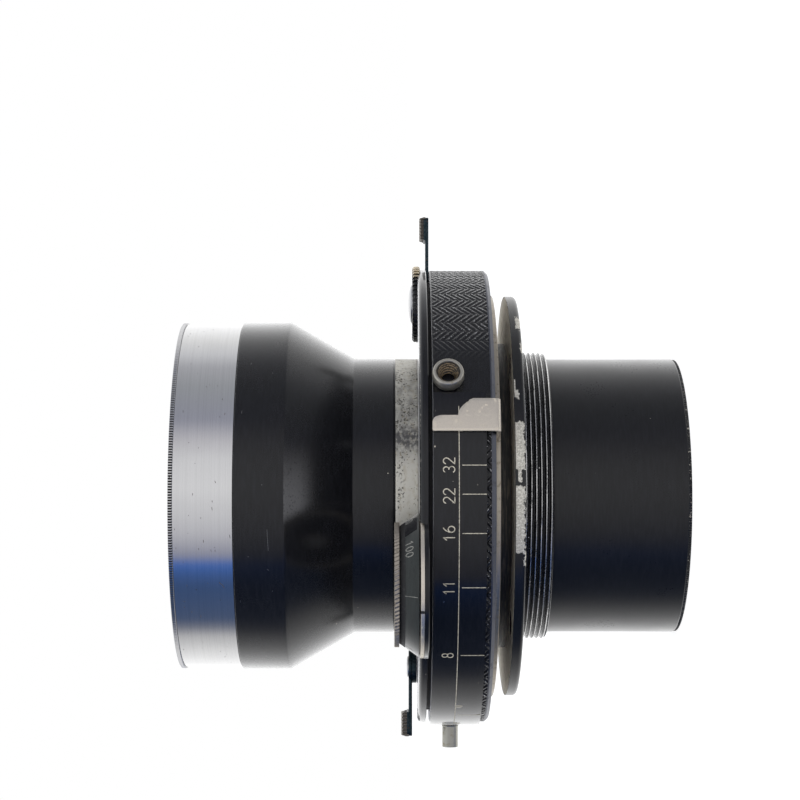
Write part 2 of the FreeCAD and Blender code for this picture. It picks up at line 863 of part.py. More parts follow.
def cam_slot(kind, travel, bottom, top):
    """The slot that makes a blade turn in proportion to its ring, as a solid to cut with."""
    steps = 12
    path = []
    for step in range(steps + 1):
        share = step / steps
        spot = drive_pin_spot(kind, closing_angle(kind) * (1.0 - share))
        turn = math.degrees(math.atan2(spot.y, spot.x)) + travel * share
        path.append(polar(spot.Length, turn))
    return strip(path, size("pin_radius") + size("slot_clearance"), bottom, top)


def ring_with_slots(label, kind, travel, inner, outer, bottom, top):
    """A flat ring with one cam slot for each blade."""
    ring = Part.makeCylinder(outer, top - bottom, FreeCAD.Vector(0, 0, bottom))
    ring = ring.cut(Part.makeCylinder(inner, top - bottom, FreeCAD.Vector(0, 0, bottom)))
    slot = cam_slot(kind, travel, bottom - 1, top + 1)
    count = int(size(kind + "_count"))
    slots = []
    for index in range(count):
        turned_slot = slot.copy()
        turned_slot.rotate(
            FreeCAD.Vector(0, 0, 0), FreeCAD.Vector(0, 0, 1), 360.0 * index / count
        )
        slots.append(turned_slot)
    shaped(label, ring.cut(slots))


def make_blades():
    gap = size("pin_end_gap")
    up_to_plate = (math.inf, size("iris_plate_top") - 2 * gap)
    down_to_cam = (size("cam_bottom") + gap, -math.inf)
    for index in range(int(size("iris_count"))):
        shape = blade("iris", index, up_to_plate, down_to_cam)
        shaped(f"iris_blade_{index + 1:02d}", shape)
    down_to_plate = (size("iris_plate_bottom") + 2 * gap, -math.inf)
    up_to_ring = (math.inf, size("shutter_ring_top") - gap)
    for index in range(int(size("shutter_count"))):
        shape = blade("shutter", index, down_to_plate, up_to_ring)
        shaped(f"shutter_blade_{index + 1}", shape)
    ring_with_slots(
        "aperture_cam_ring", "iris", size("ring_travel"),
        size("cam_inner"), size("cam_outer"), size("cam_bottom"), size("cam_top"),
    )
    ring_with_slots(
        "blade_drive_ring", "shutter", size("shutter_ring_travel"),
        size("shutter_ring_inner"), size("shutter_ring_outer"),
        size("shutter_ring_bottom"), size("shutter_ring_top"),
    )


# ---------------------------------------------------------------- inner plates
def pivot_holes(kind, bottom, top):
    """Drills for the pivot pins of a set of blades."""
    count = int(size(kind + "_count"))
    drills = []
    for index in range(count):
        spot = polar(1.0, 360.0 * index / count)
        drills.append(cylinder(
            f"{kind}_pivot_hole_{index}", "pin_radius + pin_clearance", bottom, top,
            f"{spot.x:.8f} * {kind}_pivot_circle", f"{spot.y:.8f} * {kind}_pivot_circle",
        ))
    return group(kind + "_pivot_holes", drills)


def washer(name, inner, outer, bottom, top):
    return turned(name, [(inner, bottom), (outer, bottom), (outer, top), (inner, top)])


POST_ANGLES = (45.0, 135.0, 205.0, 300.0)


def post_place(index):
    spot = polar(1.0, POST_ANGLES[index])
    return f"{spot.x:.6f} * post_circle", f"{spot.y:.6f} * post_circle"


def make_inner_plates():
    disc = washer(
        "iris_disc", "plate_aperture", "inner_plate_radius", "iris_plate_bottom", "iris_plate_top"
    )
    low, high = "iris_plate_bottom - 1", "iris_plate_top + 1"
    keep(
        cut("iris_plate", disc, pivot_holes("iris", low, high), pivot_holes("shutter", low, high)),
        "iris_plate",
    )
    keep(washer(
        "shutter_spacer_ring", "spacer_inner", "inner_plate_radius",
        "iris_plate_top", "mechanism_bottom",
    ), "shutter_spacer_ring")
    plate = washer(
        "mechanism_disc", "plate_aperture", "inner_plate_radius", "mechanism_bottom", "mechanism_top"
    )
    posts = []
    drills = []
    for index in range(len(POST_ANGLES)):
        x, y = post_place(index)
        posts.append(cylinder(f"post_{index}", "post_radius", "mechanism_top", "cover_rear", x, y))
        drills.append(cylinder(
            f"post_drill_{index}", "screw_radius + part_gap", "mechanism_top + part_gap",
            "cover_rear + 1", x, y,
        ))
    keep(
        cut("mechanism_plate", fuse("mechanism_plate", plate, *posts), group("post_drills", drills)),
        "mechanism_plate",
    )


# ---------------------------------------------------------------- front cover and collar
def make_cover():
    bore = "collar_spigot + barrel_gap"
    outline = [
        (bore, "cover_rear"),
        ("skirt_inner", "cover_rear"),
        ("skirt_inner", "mechanism_top"),
        ("skirt_outer", "mechanism_top"),
        ("skirt_outer", "cover_rear"),
        ("cover_radius", "cover_rear"),
        ("cover_radius", "cover_groove - cover_groove_half"),
        ("cover_radius - cover_groove_depth", "cover_groove"),
        ("cover_radius", "cover_groove + cover_groove_half"),
        ("cover_radius", "cover_front - cover_round"),
        ("cover_radius - 0.3 * cover_round", "cover_front - 0.3 * cover_round"),
        ("cover_radius - cover_round", "cover_front"),
        (bore, "cover_front"),
    ]
    disc = turned("cover_disc", outline)
    through = ("cover_rear - 1", "cover_front + 1")
    lobe = dial_cylinder("dial_lobe", "dial_lobe_radius", "cover_rear", "cover_front")
    trimmed_lobe = cut("dial_lobe", lobe, cylinder("lobe_centre", bore, *through))
    body = fuse("cover_body", disc, trimmed_lobe)
    tools = [
        dial_cylinder("dial_recess", "dial_recess_radius", "dial_recess_floor", through[1]),
        dial_cylinder("dial_hole", "dial_hole_radius", *through),
        dial_cylinder(
            "dial_room", "dial_hole_radius + dial_shaft_room", "mechanism_top + 1", "cover_rear"
        ),
        wheel_cylinder("wheel_recess", "wheel_recess_radius", "wheel_recess_floor", through[1]),
        wheel_cylinder("wheel_hole", "wheel_hole_radius", *through),
        cylinder("cocking_hole", "cocking_hole_radius", *through, "cocking_x", "0"),
        block(
            "lever_window", ("release_x", "cover_radius + 1"),
            ("-0.5 * lever_window_width", "0.5 * lever_window_width"),
            ("mechanism_top - 1", "cover_rear"),
        ),
    ]
    sink_floor = "cover_front - screw_head_depth"
    for index in range(len(POST_ANGLES)):
        spot = post_place(index)
        tools.append(cylinder(f"cover_drill_{index}", "screw_radius + part_gap", *through, *spot))
        tools.append(cylinder(
            f"cover_sink_{index}", "screw_head_radius + screw_head_gap", sink_floor, through[1], *spot,
        ))
    keep(cut("front_cover", body, *tools), "front_cover")
    screws = []
    for index in range(len(POST_ANGLES)):
        spot = post_place(index)
        shank = cylinder(
            f"cover_shank_{index}", "screw_radius", "mechanism_top + 1", sink_floor, *spot
        )
        head = cylinder(
            f"cover_head_{index}", "screw_head_radius", sink_floor,
            "cover_front - screw_head_gap", *spot,
        )
        screws.append(fuse(f"cover_screw_{index}", shank, head))
    keep(group("cover_screws", screws), "cover_screws")
    collar = [
        ("collar_bore", "mechanism_top"),
        ("collar_spigot", "mechanism_top"),
        ("collar_spigot", "cover_front"),
        ("collar_radius", "cover_front"),
        ("collar_radius", "collar_top"),
        ("collar_bore", "collar_top"),
    ]
    keep(turned("front_collar", collar), "front_collar")


# ---------------------------------------------------------------- speed dial and mode wheel
def dial_cylinder(name, radius, bottom, top):
    return cylinder(name, radius, bottom, top, "dial_x", "dial_y")


def wheel_cylinder(name, radius, bottom, top):
    return cylinder(name, radius, bottom, top, "wheel_x", "wheel_y")


def make_speed_dial():
    base = dial_cylinder("dial_base_disc", "dial_base_radius", "dial_base_bottom", "dial_base_top")
    hole = dial_cylinder("dial_base_hole", "dial_hole_radius", "dial_base_bottom - 1", "dial_cone_top")
    keep(cut("speed_dial_base", base, hole), "speed_dial_base")
    outside = cone(
        "dial_cone_outside", "dial_cone_radius", "dial_cone_top_radius",
        "dial_cone_bottom", "dial_cone_top", "dial_x", "dial_y",
    )
    inside = cone(
        "dial_cone_inside", "dial_cone_radius - dial_wall", "dial_cone_top_radius - dial_wall",
        "dial_cone_bottom", "dial_cone_top", "dial_x", "dial_y",
    )
    keep(cut("speed_number_ring", outside, inside), "speed_number_ring")
    disc = dial_cylinder("dial_disc", "dial_disc_radius", "dial_cone_top", "dial_disc_top")
    shaft = dial_cylinder("dial_shaft", "dial_shaft_radius", "dial_shaft_bottom", "dial_cone_top")
    keep(fuse("speed_dial", disc, shaft), "speed_dial")
    low = "dial_cone_bottom + speed_cam_gap"
    high = f"{low} + speed_cam_thick"
    cam = dial_cylinder("cam_round", "speed_cam_radius", low, high)
    lift = cylinder(
        "cam_lift", "speed_cam_lift_radius", low, high, "dial_x + speed_cam_offset", "dial_y"
    )
    cam_hole = dial_cylinder("cam_hole", "dial_shaft_radius", "dial_cone_bottom", "dial_cone_top")
    keep(cut("speed_cam", fuse("speed_cam", cam, lift), cam_hole), "speed_cam")


def make_mode_wheel():
    rim = wheel_cylinder("wheel_rim", "wheel_radius", "wheel_bottom", "wheel_top")
    shaft = wheel_cylinder("wheel_shaft", "wheel_shaft_radius", "wheel_shaft_bottom", "wheel_bottom")
    keep(fuse("mode_wheel", rim, shaft), "mode_wheel")
    cap = wheel_cylinder("wheel_cap", "wheel_cap_radius", "wheel_top", "wheel_cap_top")
    keep(cap, "mode_wheel_cap")


# ---------------------------------------------------------------- levers
def make_release_lever():
    top = "release_bottom + release_thick"
    half = "0.5 * release_width"
    arm = block(
        "release_arm", ("release_x", "release_reach"), (f"-{half}", half), ("release_bottom", top)
    )
    hub = cylinder("release_hub", "release_hub_radius", "release_bottom", top, "release_x", "0")
    hole = cylinder(
        "release_hole", "release_hole_radius", "release_bottom - 1", f"{top} + 1", "release_x", "0"
    )
    keep(cut("release_lever", fuse("release_lever", arm, hub), hole), "release_lever")
    grip = block(
        "release_grip_block", ("release_reach - release_grip_length", "release_reach"),
        (f"-{half}", half), (top, "release_grip_top"),
    )
    keep(grip, "release_lever_grip")
    pivot = cylinder(
        "release_pivot_pin", "release_pivot_radius", "mechanism_top", "cover_rear", "release_x", "0"
    )
    keep(pivot, "release_pivot")


def make_cocking_lever():
    top = "cocking_bottom + cocking_thick"
    half = "0.5 * cocking_width"
    arm = block(
        "cocking_arm", ("-cocking_reach", "cocking_x"), (f"-{half}", half), ("cocking_bottom", top)
    )
    hub = cylinder("cocking_hub", "cocking_hub_radius", "cocking_hub_bottom", top, "cocking_x", "0")
    keep(fuse("cocking_lever", arm, hub), "cocking_lever")
    grip = block(
        "cocking_grip_block", ("-cocking_reach", "cocking_grip_length - cocking_reach"),
        (f"-{half}", half), (top, "cocking_grip_top"),
    )
    keep(grip, "cocking_lever_grip")
    shaft = cylinder(
        "cocking_shaft_rod", "cocking_shaft_radius", "cocking_shaft_bottom", "cocking_hub_bottom",
        "cocking_x", "0",
    )
    keep(shaft, "cocking_shaft")


SPRING_STEPS = 10


def make_main_spring():
    """The flat coil that drives the shutter, wound round the cocking shaft."""
    turns = int(size("spring_turns"))
    inner = size("spring_inner")
    count = turns * SPRING_STEPS
    path = []
    for step in range(count + 1):
        share = step / count
        path.append(polar(inner + (size("spring_outer") - inner) * share, 360.0 * turns * share))
    bottom = size("mechanism_top") + size("spring_gap")
    spring = strip(path, size("spring_half_thick"), bottom, bottom + size("spring_height"))
    spring.translate(FreeCAD.Vector(size("cocking_x"), 0, 0))
    shaped("main_spring", spring)


# ---------------------------------------------------------------- sockets
def make_cable_socket():
    wall = "housing_radius - housing_bore"
    length = "cable_out - housing_bore"
    outline = [
        ("cable_bore", "socket_inset"),
        ("cable_spigot_radius - part_gap", "socket_inset"),
        ("cable_spigot_radius - part_gap", wall),
        ("cable_base_radius", f"{wall} + socket_seat_gap"),
        ("cable_belly_radius", f"{wall} + cable_belly_out"),
        ("cable_rim_radius", f"{length} - cable_rim_chamfer"),
        ("cable_rim_radius - cable_rim_chamfer", length),
        ("cable_mouth_radius", length),
        ("cable_bore", f"{length} - cable_mouth_depth"),
    ]
    socket = turned("cable_release_socket", outline)
    stand_out(socket, compass(size("cable_angle")), "cable_height")
    keep(socket, "cable_release_socket")


def stand_out(body, angle, height):
    """Turns a body from the Z axis to point away from the axis, on the housing wall."""
    direction = polar(1.0, angle)
    body.Placement = FreeCAD.Placement(
        FreeCAD.Vector(0, 0, 0), FreeCAD.Rotation(FreeCAD.Vector(0, 0, 1), direction)
    )
    place(body, f"{direction.x:.8f} * housing_bore", f"{direction.y:.8f} * housing_bore", height)


def make_sync_socket():
    wall = "housing_radius - housing_bore"
    length = "sync_out - housing_bore"
    shell = turned("sync_socket_shell", [
        ("sync_bore", "socket_inset"),
        ("sync_root_radius - part_gap", "socket_inset"),
        ("sync_root_radius - part_gap", wall),
        ("sync_collar_radius", f"{wall} + socket_seat_gap"),
        ("sync_collar_radius", f"{wall} + sync_collar_length"),
        ("sync_radius", f"{wall} + sync_collar_length + sync_collar_chamfer"),
        ("sync_radius", length),
        ("sync_bore", length),
    ])
    insulator = turned("sync_socket_insulator", [
        ("sync_pin_radius", "socket_inset"),
        ("sync_bore", "socket_inset"),
        ("sync_bore", f"{length} - sync_insulator_inset"),
        ("sync_pin_radius", f"{length} - sync_insulator_inset"),
    ])
    pin = turned("sync_socket_pin", [
        ("0", "socket_inset"),
        ("sync_pin_radius", "socket_inset"),
        ("sync_pin_radius", f"{length} - sync_pin_inset"),
        ("0", f"{length} - sync_pin_inset + sync_pin_point"),
    ])
    for body in (shell, insulator, pin):
        stand_out(body, 180.0, "sync_height")
        keep(body, body.Name)


# ---------------------------------------------------------------- build, check and write
for make in (
    make_flange, make_rear_tube, make_rear_cell, make_glass, make_front_cell, make_housing,
    make_scale_plate, make_aperture_ring, make_blades, make_inner_plates, make_cover,
    make_speed_dial, make_mode_wheel, make_release_lever, make_cocking_lever,
    make_main_spring, make_cable_socket, make_sync_socket,
):
    make()
doc.recompute()

for item in doc.Objects:
    if "Invalid" in item.State or "Error" in item.State:
        raise RuntimeError(f"{item.Name} did not recompute: {item.State}")

os.makedirs("parts", exist_ok=True)
for item in nodes:
    shape = item.Shape
    if shape.isNull() or not shape.isValid():
        raise RuntimeError(f"{item.Label} has no valid shape")
    shape.exportStep(f"parts/{item.Label}.step")
    print(f"{item.Label:26s} solids {len(shape.Solids):2d}  volume {shape.Volume:10.2f}")
print(len(nodes), "sub-parts")
print("iris turn", closing_angle("iris"), "shutter turn", closing_angle("shutter"))
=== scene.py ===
import math
import random
from functools import reduce

import bmesh
import bpy
import numpy as np
from mathutils import Matrix, Vector


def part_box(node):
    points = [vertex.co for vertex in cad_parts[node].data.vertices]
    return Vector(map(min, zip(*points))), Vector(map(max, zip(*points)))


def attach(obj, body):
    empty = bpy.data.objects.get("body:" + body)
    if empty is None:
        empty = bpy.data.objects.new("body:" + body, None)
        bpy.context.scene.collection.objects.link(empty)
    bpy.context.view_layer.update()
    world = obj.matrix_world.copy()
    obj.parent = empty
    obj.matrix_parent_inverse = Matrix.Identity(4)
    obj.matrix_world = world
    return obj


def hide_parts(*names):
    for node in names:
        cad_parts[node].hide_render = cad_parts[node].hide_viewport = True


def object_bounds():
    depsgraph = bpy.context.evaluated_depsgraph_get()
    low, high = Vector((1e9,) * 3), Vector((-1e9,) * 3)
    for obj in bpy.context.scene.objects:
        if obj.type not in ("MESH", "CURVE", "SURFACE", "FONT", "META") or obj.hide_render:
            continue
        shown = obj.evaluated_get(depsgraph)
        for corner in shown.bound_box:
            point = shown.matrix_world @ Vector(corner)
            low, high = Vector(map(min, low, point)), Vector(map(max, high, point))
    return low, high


# A large-format lens in a leaf shutter, standing front up on its rear rim.
# Sizes here are millimetres in the frame of the CAD model: +Z is the optical axis towards
# the front. Clock angles are measured clockwise, seen from the front, from the -Y side.

MM = 0.001
FULL_TURN = 2 * math.pi
ROOT = "shutter_body"
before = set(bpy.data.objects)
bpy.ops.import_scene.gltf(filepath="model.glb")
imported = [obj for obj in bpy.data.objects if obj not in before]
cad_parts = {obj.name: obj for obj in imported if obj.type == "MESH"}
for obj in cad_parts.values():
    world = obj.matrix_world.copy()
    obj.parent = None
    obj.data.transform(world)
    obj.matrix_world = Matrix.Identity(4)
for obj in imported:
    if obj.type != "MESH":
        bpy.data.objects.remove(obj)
cad_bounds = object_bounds()


# --- places from the frame
class Span:
    """The box of a CAD node, in millimetres."""

    def __init__(self, node):
        low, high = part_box(node)
        self.x0, self.y0, self.z0 = (value / MM for value in low)
        self.x1, self.y1, self.z1 = (value / MM for value in high)
        self.centre = (0.5 * (self.x0 + self.x1), 0.5 * (self.y0 + self.y1))
        self.radius = 0.5 * (self.x1 - self.x0)


def clock(degrees):
    """Polar angle from +X, in radians, of a clock angle."""
    return math.radians(270.0 - degrees)


def polar(radius, turn, centre=(0.0, 0.0)):
    """The point (x, y) at a radius and a polar angle round a centre."""
    return (centre[0] + radius * math.cos(turn), centre[1] + radius * math.sin(turn))


# The front barrel behind its bezel: a straight band, then a cone down to the neck
BAND_LENGTH = 10.45
CONE_LENGTH = 14.05
CONE_TOP = Span("front_bezel_ring").z0 - BAND_LENGTH
NECK_TOP = CONE_TOP - CONE_LENGTH


# --- meshes
def linked(name, data):
    item = bpy.data.objects.new(name, data)
    bpy.context.scene.collection.objects.link(item)
    return item


def finish(name, mesh, material, node=None, slot="black_paint", body=ROOT, sharp=32.0):
    """Shades a mesh and lets it ride on a body, in place of a CAD node if one is given."""
    mesh.validate()
    mesh.shade_smooth()
    mesh.set_sharp_from_angle(angle=math.radians(sharp))
    mesh.name = name
    piece = linked(name, mesh)
    mesh.materials.append(material)
    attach(piece, body)
    if node:
        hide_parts(node)


def poured(work, mesh=None):
    """Puts the geometry of a bmesh into a mesh."""
    mesh = mesh or bpy.data.meshes.new("part")
    work.to_mesh(mesh)
    work.free()
    return mesh


def mesh_of(points, faces, wear_and_painted_light=None):
    """A mesh from points in millimetres, with an optional value at each point: wear on most pieces,
    and painted shade and painted highlights on some.

    Doubled points, such as those on an axis, are joined, and the faces point outwards."""
    mesh = bpy.data.meshes.new("part")
    mesh.from_pydata((np.asarray(points, float) * MM).tolist(), [], faces)
    if wear_and_painted_light is not None:
        layer = mesh.attributes.new("wear_and_painted_light", "FLOAT", "POINT")
        layer.data.foreach_set("value", np.asarray(wear_and_painted_light, float))
    work = bmesh.new()
    work.from_mesh(mesh)
    bmesh.ops.remove_doubles(work, verts=work.verts, dist=1e-7)
    bmesh.ops.recalc_face_normals(work, faces=work.faces)
    return poured(work, mesh)


def round_corners(outline, size, steps=3):
    """Replaces the corners of a closed outline with small curves."""
    points = [Vector(point) for point in outline]
    rounded = []
    for index, corner in enumerate(points):
        before = points[index - 1] - corner
        after = points[(index + 1) % len(points)] - corner
        if size <= 0 or corner.x < 1e-6:
            rounded.append(corner)
            continue
        start = corner + before.normalized() * min(size, 0.4 * before.length)
        end = corner + after.normalized() * min(size, 0.4 * after.length)
        for step in range(steps + 1):
            share = step / steps
            rounded.append(start.lerp(corner, share).lerp(corner.lerp(end, share), share))
    return rounded


def divide(outline, longest):
    """Adds points so that no run of a closed outline is longer than a given length."""
    divided = []
    for point, following in zip(outline, outline[1:] + outline[:1]):
        on_axis = point.x < 1e-6 and following.x < 1e-6
        count = 1 if on_axis else max(1, math.ceil((following - point).length / longest))
        divided += [point.lerp(following, step / count) for step in range(count)]
    return divided


def band_faces(first, second, count):
    """Faces between two rings of points that start at two indices."""
    return [(first + column, first + (column + 1) % count,
             second + (column + 1) % count, second + column) for column in range(count)]


def stacked_faces(levels, count, offset=0):
    """Faces of a solid made of rings of points, one after another, with both ends closed."""
    faces = [tuple(range(offset + count - 1, offset - 1, -1))]
    for start in range(offset, offset + (levels - 1) * count, count):
        faces += band_faces(start, start + count, count)
    last = offset + (levels - 1) * count
    return faces + [tuple(range(last, last + count))]


def lathe_mesh(outline, segments=224, bevel=0.12, longest=None, relief=None, centre=(0, 0)):
    """A closed outline of (radius, height), turned round an axis parallel to Z.

    relief(angle, radius, height) gives how far each point moves outwards and its per-point value:
    wear, and on some pieces painted shade and painted highlights."""
    profile = round_corners(outline, bevel)
    if longest:
        profile = divide(profile, longest)
    radius = np.array([point.x for point in profile])[:, None]
    height = np.array([point.y for point in profile])[:, None]
    angle = np.linspace(0.0, FULL_TURN, segments, endpoint=False)[None, :]
    outward = wear_and_painted_light = np.zeros((len(profile), segments))
    if relief:
        outward, wear_and_painted_light = relief(angle + 0 * radius, radius + 0 * angle, height + 0 * angle)
    reach = radius + outward
    points = np.stack([centre[0] + reach * np.cos(angle), centre[1] + reach * np.sin(angle),
                       height + 0 * angle], axis=-1).reshape(-1, 3)
    faces = []
    for row in range(len(profile)):
        following = (row + 1) % len(profile)
        if max(profile[row].x, profile[following].x) >= 1e-6:
            faces += band_faces(row * segments, following * segments, segments)
    return mesh_of(points, faces, wear_and_painted_light.reshape(-1))


def turned(name, outline, material, node=None, slot="black_paint", body=ROOT, sharp=32.0,
           **options):
    """One piece from an outline; the options are those of lathe_mesh."""
    finish(name, lathe_mesh(outline, **options), material, node, slot, body, sharp)


def grid_faces(rows, columns, offset=0, flip=False):
    """Faces of a grid of points, row by row."""
    faces = []
    for row in range(rows - 1):
        for first in range(offset + row * columns, offset + (row + 1) * columns - 1):
            face = (first, first + 1, first + columns + 1, first + columns)
            faces.append(face[::-1] if flip else face)
    return faces


def closed_slab(inner, outer, wear_and_painted_light=None):
    """A solid between two grids of points that share one layout; the optional per-point values,
    painted shade in the grooves of the grips, are those of the outer grid.
    """
    rows, columns = inner.shape[:2]
    count = rows * columns
    faces = grid_faces(rows, columns, 0, True) + grid_faces(rows, columns, count)
    border = (
        list(range(columns))
        + [row * columns + columns - 1 for row in range(1, rows)]
        + [(rows - 1) * columns + column for column in range(columns - 2, -1, -1)]
        + [row * columns for row in range(rows - 2, 0, -1)]
    )
    for point, following in zip(border, border[1:] + border[:1]):
        faces.append((point, following, following + count, point + count))
    points = np.concatenate([inner.reshape(-1, 3), outer.reshape(-1, 3)])
    if wear_and_painted_light is not None:
        wear_and_painted_light = np.tile(wear_and_painted_light.reshape(-1), 2)
    return mesh_of(points, faces, wear_and_painted_light)


def prism_mesh(outline, bottom, top, bevel):
    """A flat plate from a closed outline of (x, y), with its edges rounded."""
    work = bmesh.new()
    ring = [work.verts.new((x * MM, y * MM, bottom * MM)) for x, y in outline]
    lifted = bmesh.ops.extrude_face_region(work, geom=[work.faces.new(ring)])
    for item in lifted["geom"]:
        if isinstance(item, bmesh.types.BMVert):
            item.co.z = top * MM
    bmesh.ops.recalc_face_normals(work, faces=work.faces)
    rim = [edge for edge in work.edges if abs(edge.verts[0].co.z - edge.verts[1].co.z) < 1e-9]
    bmesh.ops.bevel(work, geom=rim, offset=bevel * MM, segments=2, profile=0.5, affect="EDGES")
    return poured(work)


def joined(meshes):
    """One mesh from several, at the same places."""
    work = bmesh.new()
    for mesh in meshes:
        work.from_mesh(mesh)
        bpy.data.meshes.remove(mesh)
    return poured(work)


def moved(mesh, matrix):
    mesh.transform(matrix)
    return mesh


def cut_by(mesh, tools):
    """Takes closed tool meshes out of a mesh."""
    base = linked("base", mesh)
    helpers = [linked("tool", tool) for tool in tools]
    for helper in helpers:
        cutter = base.modifiers.new("cut", "BOOLEAN")
        cutter.operation = "DIFFERENCE"
        cutter.solver = "EXACT"
        cutter.object = helper
    depsgraph = bpy.context.evaluated_depsgraph_get()
    result = bpy.data.meshes.new_from_object(base.evaluated_get(depsgraph))
    for item in [base] + helpers:
        bpy.data.objects.remove(item)
    result.materials.clear()
    return result


def keep_between(mesh, centre, start, end):
    """Keeps only the faces of a mesh between two polar angles in degrees round a centre."""
    work = bmesh.new()
    work.from_mesh(mesh)
    gone = []
    for face in work.faces:
        spot = face.calc_center_median() / MM
        turn = math.degrees(math.atan2(spot.y - centre[1], spot.x - centre[0])) % 360
        if not start <= turn <= end:
            gone.append(face)
    bmesh.ops.delete(work, geom=gone, context="FACES")
    return poured(work, mesh)


def disc_outline(radius, bottom, top):
    return [(0, bottom), (radius, bottom), (radius, top), (0, top)]


def tube_outline(inner, outer, bottom, top):
    return [(inner, bottom), (outer, bottom), (outer, top), (inner, top)]


def drill(radius, bottom, top, segments, centre=(0, 0)):
    return lathe_mesh(disc_outline(radius, bottom, top), segments, 0.0, centre=centre)


# --- material nodes
class Graph:
    """Short ways to add nodes to a node tree."""

    def __init__(self, tree):
        self.tree = tree

    def feed(self, socket, value):
        """Links a socket to an output, or sets its number or colour."""
        if isinstance(value, bpy.types.NodeSocket):
            self.tree.links.new(value, socket)
        else:
            socket.default_value = (*value, 1.0) if socket.type == "RGBA" else value

    def feed_all(self, node, sockets):
        for name, value in sockets.items():
            self.feed(node.inputs[name.replace("_", " ")], value)
        return node

    def node(self, kind, **sockets):
        return self.feed_all(self.tree.nodes.new("ShaderNode" + kind), sockets)

    def math(self, kind, *values):
        node = self.node("Math")
        node.operation = kind
        for socket, value in zip(node.inputs, values):
            self.feed(socket, value)
        return node.outputs[0]

    def times(self, *values):
        return reduce(lambda first, second: self.math("MULTIPLY", first, second), values)

    def plus(self, *values):
        return reduce(lambda first, second: self.math("ADD", first, second), values)

    def mix(self, share, first, second):
        node = self.node("Mix")
        node.data_type = "RGBA"
        for index, value in ((0, share), (6, first), (7, second)):
            self.feed(node.inputs[index], value)
        return node.outputs[2]


class Shader(Graph):
    """A material with one Principled BSDF. Its constants are set on the BSDF's own sockets."""

    def __init__(self, name, **constants):
        self.material = bpy.data.materials.new(name)
        self.material.use_nodes = True
        super().__init__(self.material.node_tree)
        self.surface = self.feed_all(self.tree.nodes["Principled BSDF"], constants)
        self.place = self.node("TexCoord").outputs["Object"]

    def axes(self):
        split = self.node("SeparateXYZ", Vector=self.place)
        return [split.outputs[axis] for axis in "XYZ"]

    def wear_and_painted_light(self):
        node = self.node("Attribute")
        node.attribute_name = "wear_and_painted_light"
        return node.outputs["Fac"]

    def noise(self, scale, detail=3.0, roughness=0.55):
        """Noise with so many features in a millimetre, the same or one number for each axis."""
        scale = scale if isinstance(scale, tuple) else (scale, scale, scale)
        spot = self.node("Mapping", Vector=self.place, Scale=tuple(value / MM for value in scale))
        texture = self.node("TexNoise", Vector=spot.outputs["Vector"], Scale=1.0, Detail=detail,
                            Roughness=roughness)
        return texture.outputs["Fac"]

    def lathe_marks(self, density=6.0):
        """Noise that depends only on radius and height."""
        across, depth, height = self.axes()
        square = self.plus(self.math("POWER", across, 2.0), self.math("POWER", depth, 2.0))
        spot = self.node("CombineXYZ", X=self.times(self.math("SQRT", square), density / MM),
                         Z=self.times(height, density / MM))
        return self.node("TexNoise", Vector=spot.outputs[0], Scale=1.0, Detail=4.0).outputs["Fac"]

    def ramp(self, value, low, high, start=0.0, end=1.0):
        """Maps a value between two limits to a range, and holds it there."""
        node = self.node("MapRange", Value=value, From_Min=low, From_Max=high, To_Min=start,
                         To_Max=end)
        node.interpolation_type = "SMOOTHSTEP"
        return node.outputs["Result"]

    def ramp_mm(self, value, low, high, start=0.0, end=1.0):
        return self.ramp(value, low * MM, high * MM, start, end)

    def window(self, value, low, high, soft):
        """One between two limits in millimetres, and nothing beyond them."""
        return self.times(self.ramp_mm(value, low - soft, low + soft),
                          self.ramp_mm(value, high + soft, high - soft))

    def done(self, bump=None, **driven):
        """Links the surface's sockets and its bump (height, strength, depth in millimetres)."""
        self.feed_all(self.surface, driven)
        if bump:
            height, strength, depth = bump
            node = self.node("Bump", Height=height, Strength=strength, Distance=depth * MM)
            self.feed(self.surface.inputs["Normal"], node.outputs["Normal"])
        return self.material


def scaled(colour, factor, added=0.0):
    return tuple(factor * value + added for value in colour)


def enamel(name, base=(0.0026, 0.0028, 0.0040), bare=(0.62, 0.58, 0.50), roughness=0.2, chips=0.79,
           painted_reflection=None, bloom=0.4):
    """Black enamel with fine scuffs, small chips and worn edges; the optional mask function gives
    the strength of a painted reflection, a grey patch mixed into the paint's colour."""
    shader = Shader(name, IOR=1.3, Coat_Weight=1.0, Coat_IOR=1.3, Coat_Roughness=roughness,
                    Sheen_Weight=bloom, Sheen_Roughness=0.3)
    fine = shader.noise(2.6, 4.0)
    broad = shader.noise(0.12)
    streaks = shader.noise((0.35, 0.35, 3.2))
    specks = shader.ramp(shader.noise(1.15, 1.0), chips, chips + 0.02)
    # The per-point value bares the metal: wear, and on some crests partly a painted highlight.
    worn = shader.plus(shader.wear_and_painted_light(), shader.ramp(fine, 0.25, 0.75, -0.3, 0.3))
    metal = shader.math("MAXIMUM", shader.ramp(worn, 0.5, 0.7), specks)
    paint = shader.mix(shader.ramp(streaks, 0.35, 0.75), base, scaled(base, 1.8, 0.001))
    if painted_reflection:
        # Painted reflection: the mask mixes a grey into the paint's colour.
        paint = shader.mix(painted_reflection(shader), paint, (0.062, 0.062, 0.066))
    shine = shader.plus(shader.ramp(broad, 0.3, 0.7, roughness - 0.04, roughness + 0.04),
                        shader.ramp(fine, 0.3, 0.7, 0.0, 0.05))
    return shader.done((fine, 0.12, 0.008), Base_Color=shader.mix(metal, paint, bare),
                       Metallic=metal, Roughness=shine)


